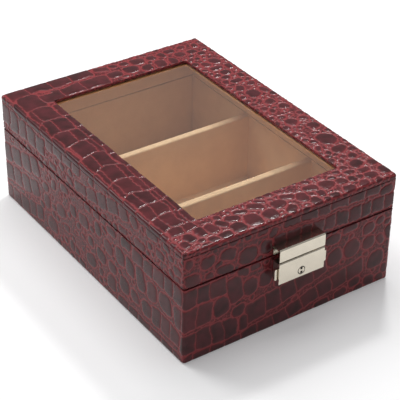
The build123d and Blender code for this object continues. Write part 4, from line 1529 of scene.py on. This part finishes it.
def faded(tree, distance, limits_mm, low, high):
    """From low to high while a distance passes two limits."""
    return ranged(tree, distance, low, high, *(limit * MM for limit in limits_mm))


def keyhole_painted_shade(tree, place):
    """Painted shade: black down the keyhole, in its two mouths and round the key."""
    face_y = corners_mm("lock_front_plate")[0][1] * MM
    centre = Vector((key_joint["pos_m"][0], face_y, key_joint["pos_m"][2]))
    away = vector_maths(tree, "SUBTRACT", place, centre)
    depth = add_node(tree, "ShaderNodeSeparateXYZ", {"Vector": away}).outputs["Y"]
    flat = vector_maths(tree, "MULTIPLY", away, Vector((1, 0, 1)))
    from_axis = vector_maths(tree, "LENGTH", flat)
    aside = vector_maths(tree, "ABSOLUTE", flat)
    from_hole = vector_maths(tree, "DISTANCE", aside, Vector((0, 0, KEY_HOLE_UP)) * MM)
    within = faded(tree, from_axis, KEY_RING_OUT, 1.0, 0.0)
    ring = maths(tree, "MULTIPLY", faded(tree, from_axis, KEY_RING_IN, 0.0, 1.0), within)
    down = maths(tree, "MULTIPLY", faded(tree, depth, KEY_DEEP, 0.0, 1.0), within)
    dark = maths(tree, "MAXIMUM", ring, down)
    return maths(tree, "MAXIMUM", dark, faded(tree, from_hole, KEY_HOLE, 1.0, 0.0))


print("the key's axis stands", round(key_joint["pos_m"][2] / MM, 1), "mm high")

# %% [markdown]
# The lock's plates are brass under polished nickel, which is warm and a
# little soft in its reflections. The parts behind them are plain plated
# steel with the lines of rolling. A small bevel gives the edges of the front
# plate and the hasp plate the bright line that a stamped and tumbled edge has.

# %% Metals
NICKEL = (0.70, 0.64, 0.53)
STEEL = (0.60, 0.58, 0.54)
DULLER = 0.93
ROLLED = (0.06, 1.0, 1.0)


def make_metal(name, colour, rough, lines_mm, depth_mm, painted_shade=None):
    """A plated metal with fine lines along x, with black painted shade where a mask is given."""
    material, tree, metal = start_material(name)
    place = object_place(tree)
    drawn = add_node(tree, "ShaderNodeMapping", {"Vector": place, "Scale": ROLLED}).outputs[0]
    lines = noise(tree, drawn, lines_mm, 3.0, 0.6)
    cloud = ranged(tree, noise(tree, place, 8.0, 2.0), 0.0, 1.0, 0.3, 0.7)
    plating = blend_colour(tree, cloud, colour, tuple(DULLER * c for c in colour))
    # painted shade: the mask darkens the plating to black in the keyhole and the ring gap
    if painted_shade:
        plating = blend_colour(tree, painted_shade(tree, place), plating, PAINTED_SHADE_BLACK)
    fill(tree, metal, {
        "Base Color": plating,
        "Metallic": 1.0,
        "Roughness": ranged(tree, lines, *rough),
        "Normal": bump(tree, lines, depth_mm, 0.3),
    })
    return material


nickel = make_metal(
    "polished_nickel", NICKEL, rough=(0.16, 0.26), lines_mm=0.35, depth_mm=0.004, painted_shade=keyhole_painted_shade,
)
steel = make_metal("plated_steel", STEEL, rough=(0.28, 0.42), lines_mm=0.25, depth_mm=0.01)
print("metals:", nickel.name, steel.name)

# %% Metal pieces
SHEET_BEVEL = 0.14
BEVEL_FROM = 50.0
PLATES = ["lock_front_plate", "hasp_plate", "key_cylinder", "lock_slide"]
INNER_STEEL = ["lock_case", "lock_bolt", "slide_leaf_spring", "hasp_tongue"]
HINGES = [f"{side}_hinge_{part}" for side in ("left", "right") for part in ("base_leaf", "lid_leaf", "pin")]
SCREWS = ["hinge_base_screws", "hinge_lid_screws", "lock_screws", "hasp_screws"]


def bevel(names, width):
    """A fine bevel on carried-over nodes; it doesn't change their mesh."""
    for name in names:
        node = frame["nodes"][name]
        node.data.shade_smooth()
        cut = node.modifiers.new("edge", "BEVEL")
        cut.width = width * MM
        cut.segments = 2
        cut.limit_method = "ANGLE"
        cut.angle_limit = math.radians(BEVEL_FROM)
        cut.harden_normals = True


wear(PLATES, nickel)
wear(INNER_STEEL + HINGES + SCREWS, steel)
bevel(["lock_front_plate", "hasp_plate"], SHEET_BEVEL)
print("metal nodes:", len(PLATES + INNER_STEEL + HINGES + SCREWS))

# %% [markdown]
# The boards are medium-density fibreboard, a felted mass of fine fibres with
# no grain. They show only at the hinges and through screw holes. The cloth
# under the case is black felt. Both are matted fibres, so one finish serves
# them with other colours and other sizes.

# %% Boards and cloth
BOARD_LIGHT, BOARD_DARK = (0.46, 0.31, 0.18), (0.33, 0.21, 0.12)
FELT_BLACK, FELT_LINT = (0.012, 0.012, 0.013), (0.035, 0.034, 0.034)
FELT_EDGE, FELT_STEP = 0.3, 8.0


def make_matted(name, tones, tone_to, size_mm, tangle, rough, relief, sheen=0.0):
    """Matted fibres: a speckle of two tones, nearly matt, in low relief."""
    material, tree, matted = start_material(name)
    fibres = noise(tree, object_place(tree), size_mm, 4.0, tangle)
    fill(tree, matted, {
        "Base Color": blend_colour(tree, ranged(tree, fibres, 0.0, 1.0, 0.35, tone_to), *tones),
        "Roughness": ranged(tree, fibres, *rough),
        "Sheen Weight": sheen,
        "Normal": bump(tree, fibres, *relief),
    })
    return material


fibreboard = make_matted(
    "fibreboard", (BOARD_LIGHT, BOARD_DARK), tone_to=0.65, size_mm=0.8, tangle=0.7,
    rough=(0.7, 0.9), relief=(0.05, 0.4),
)
felt = make_matted(
    "black_felt", (FELT_BLACK, FELT_LINT), tone_to=0.75, size_mm=0.6, tangle=0.75,
    rough=(0.85, 1.0), relief=(0.1, 0.6), sheen=0.2,
)
boards = [f"{half}_{side}_wall" for half in ("base", "lid") for side in SIDES]
boards += ["base_floor_board", "lid_frame_board", "divider_1_board", "divider_2_board"]
wear(boards, fibreboard)
felt_cover = soft_slab("base_felt_cover", *corners_mm("base_bottom_cover"), FELT_EDGE, FELT_STEP)
dress(felt_cover, "base_bottom_cover", "base", felt)
print("boards:", len(boards))

# %% Measure and finish
low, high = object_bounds()
print("dressed size in mm:", [round(s / MM, 1) for s in high - low])
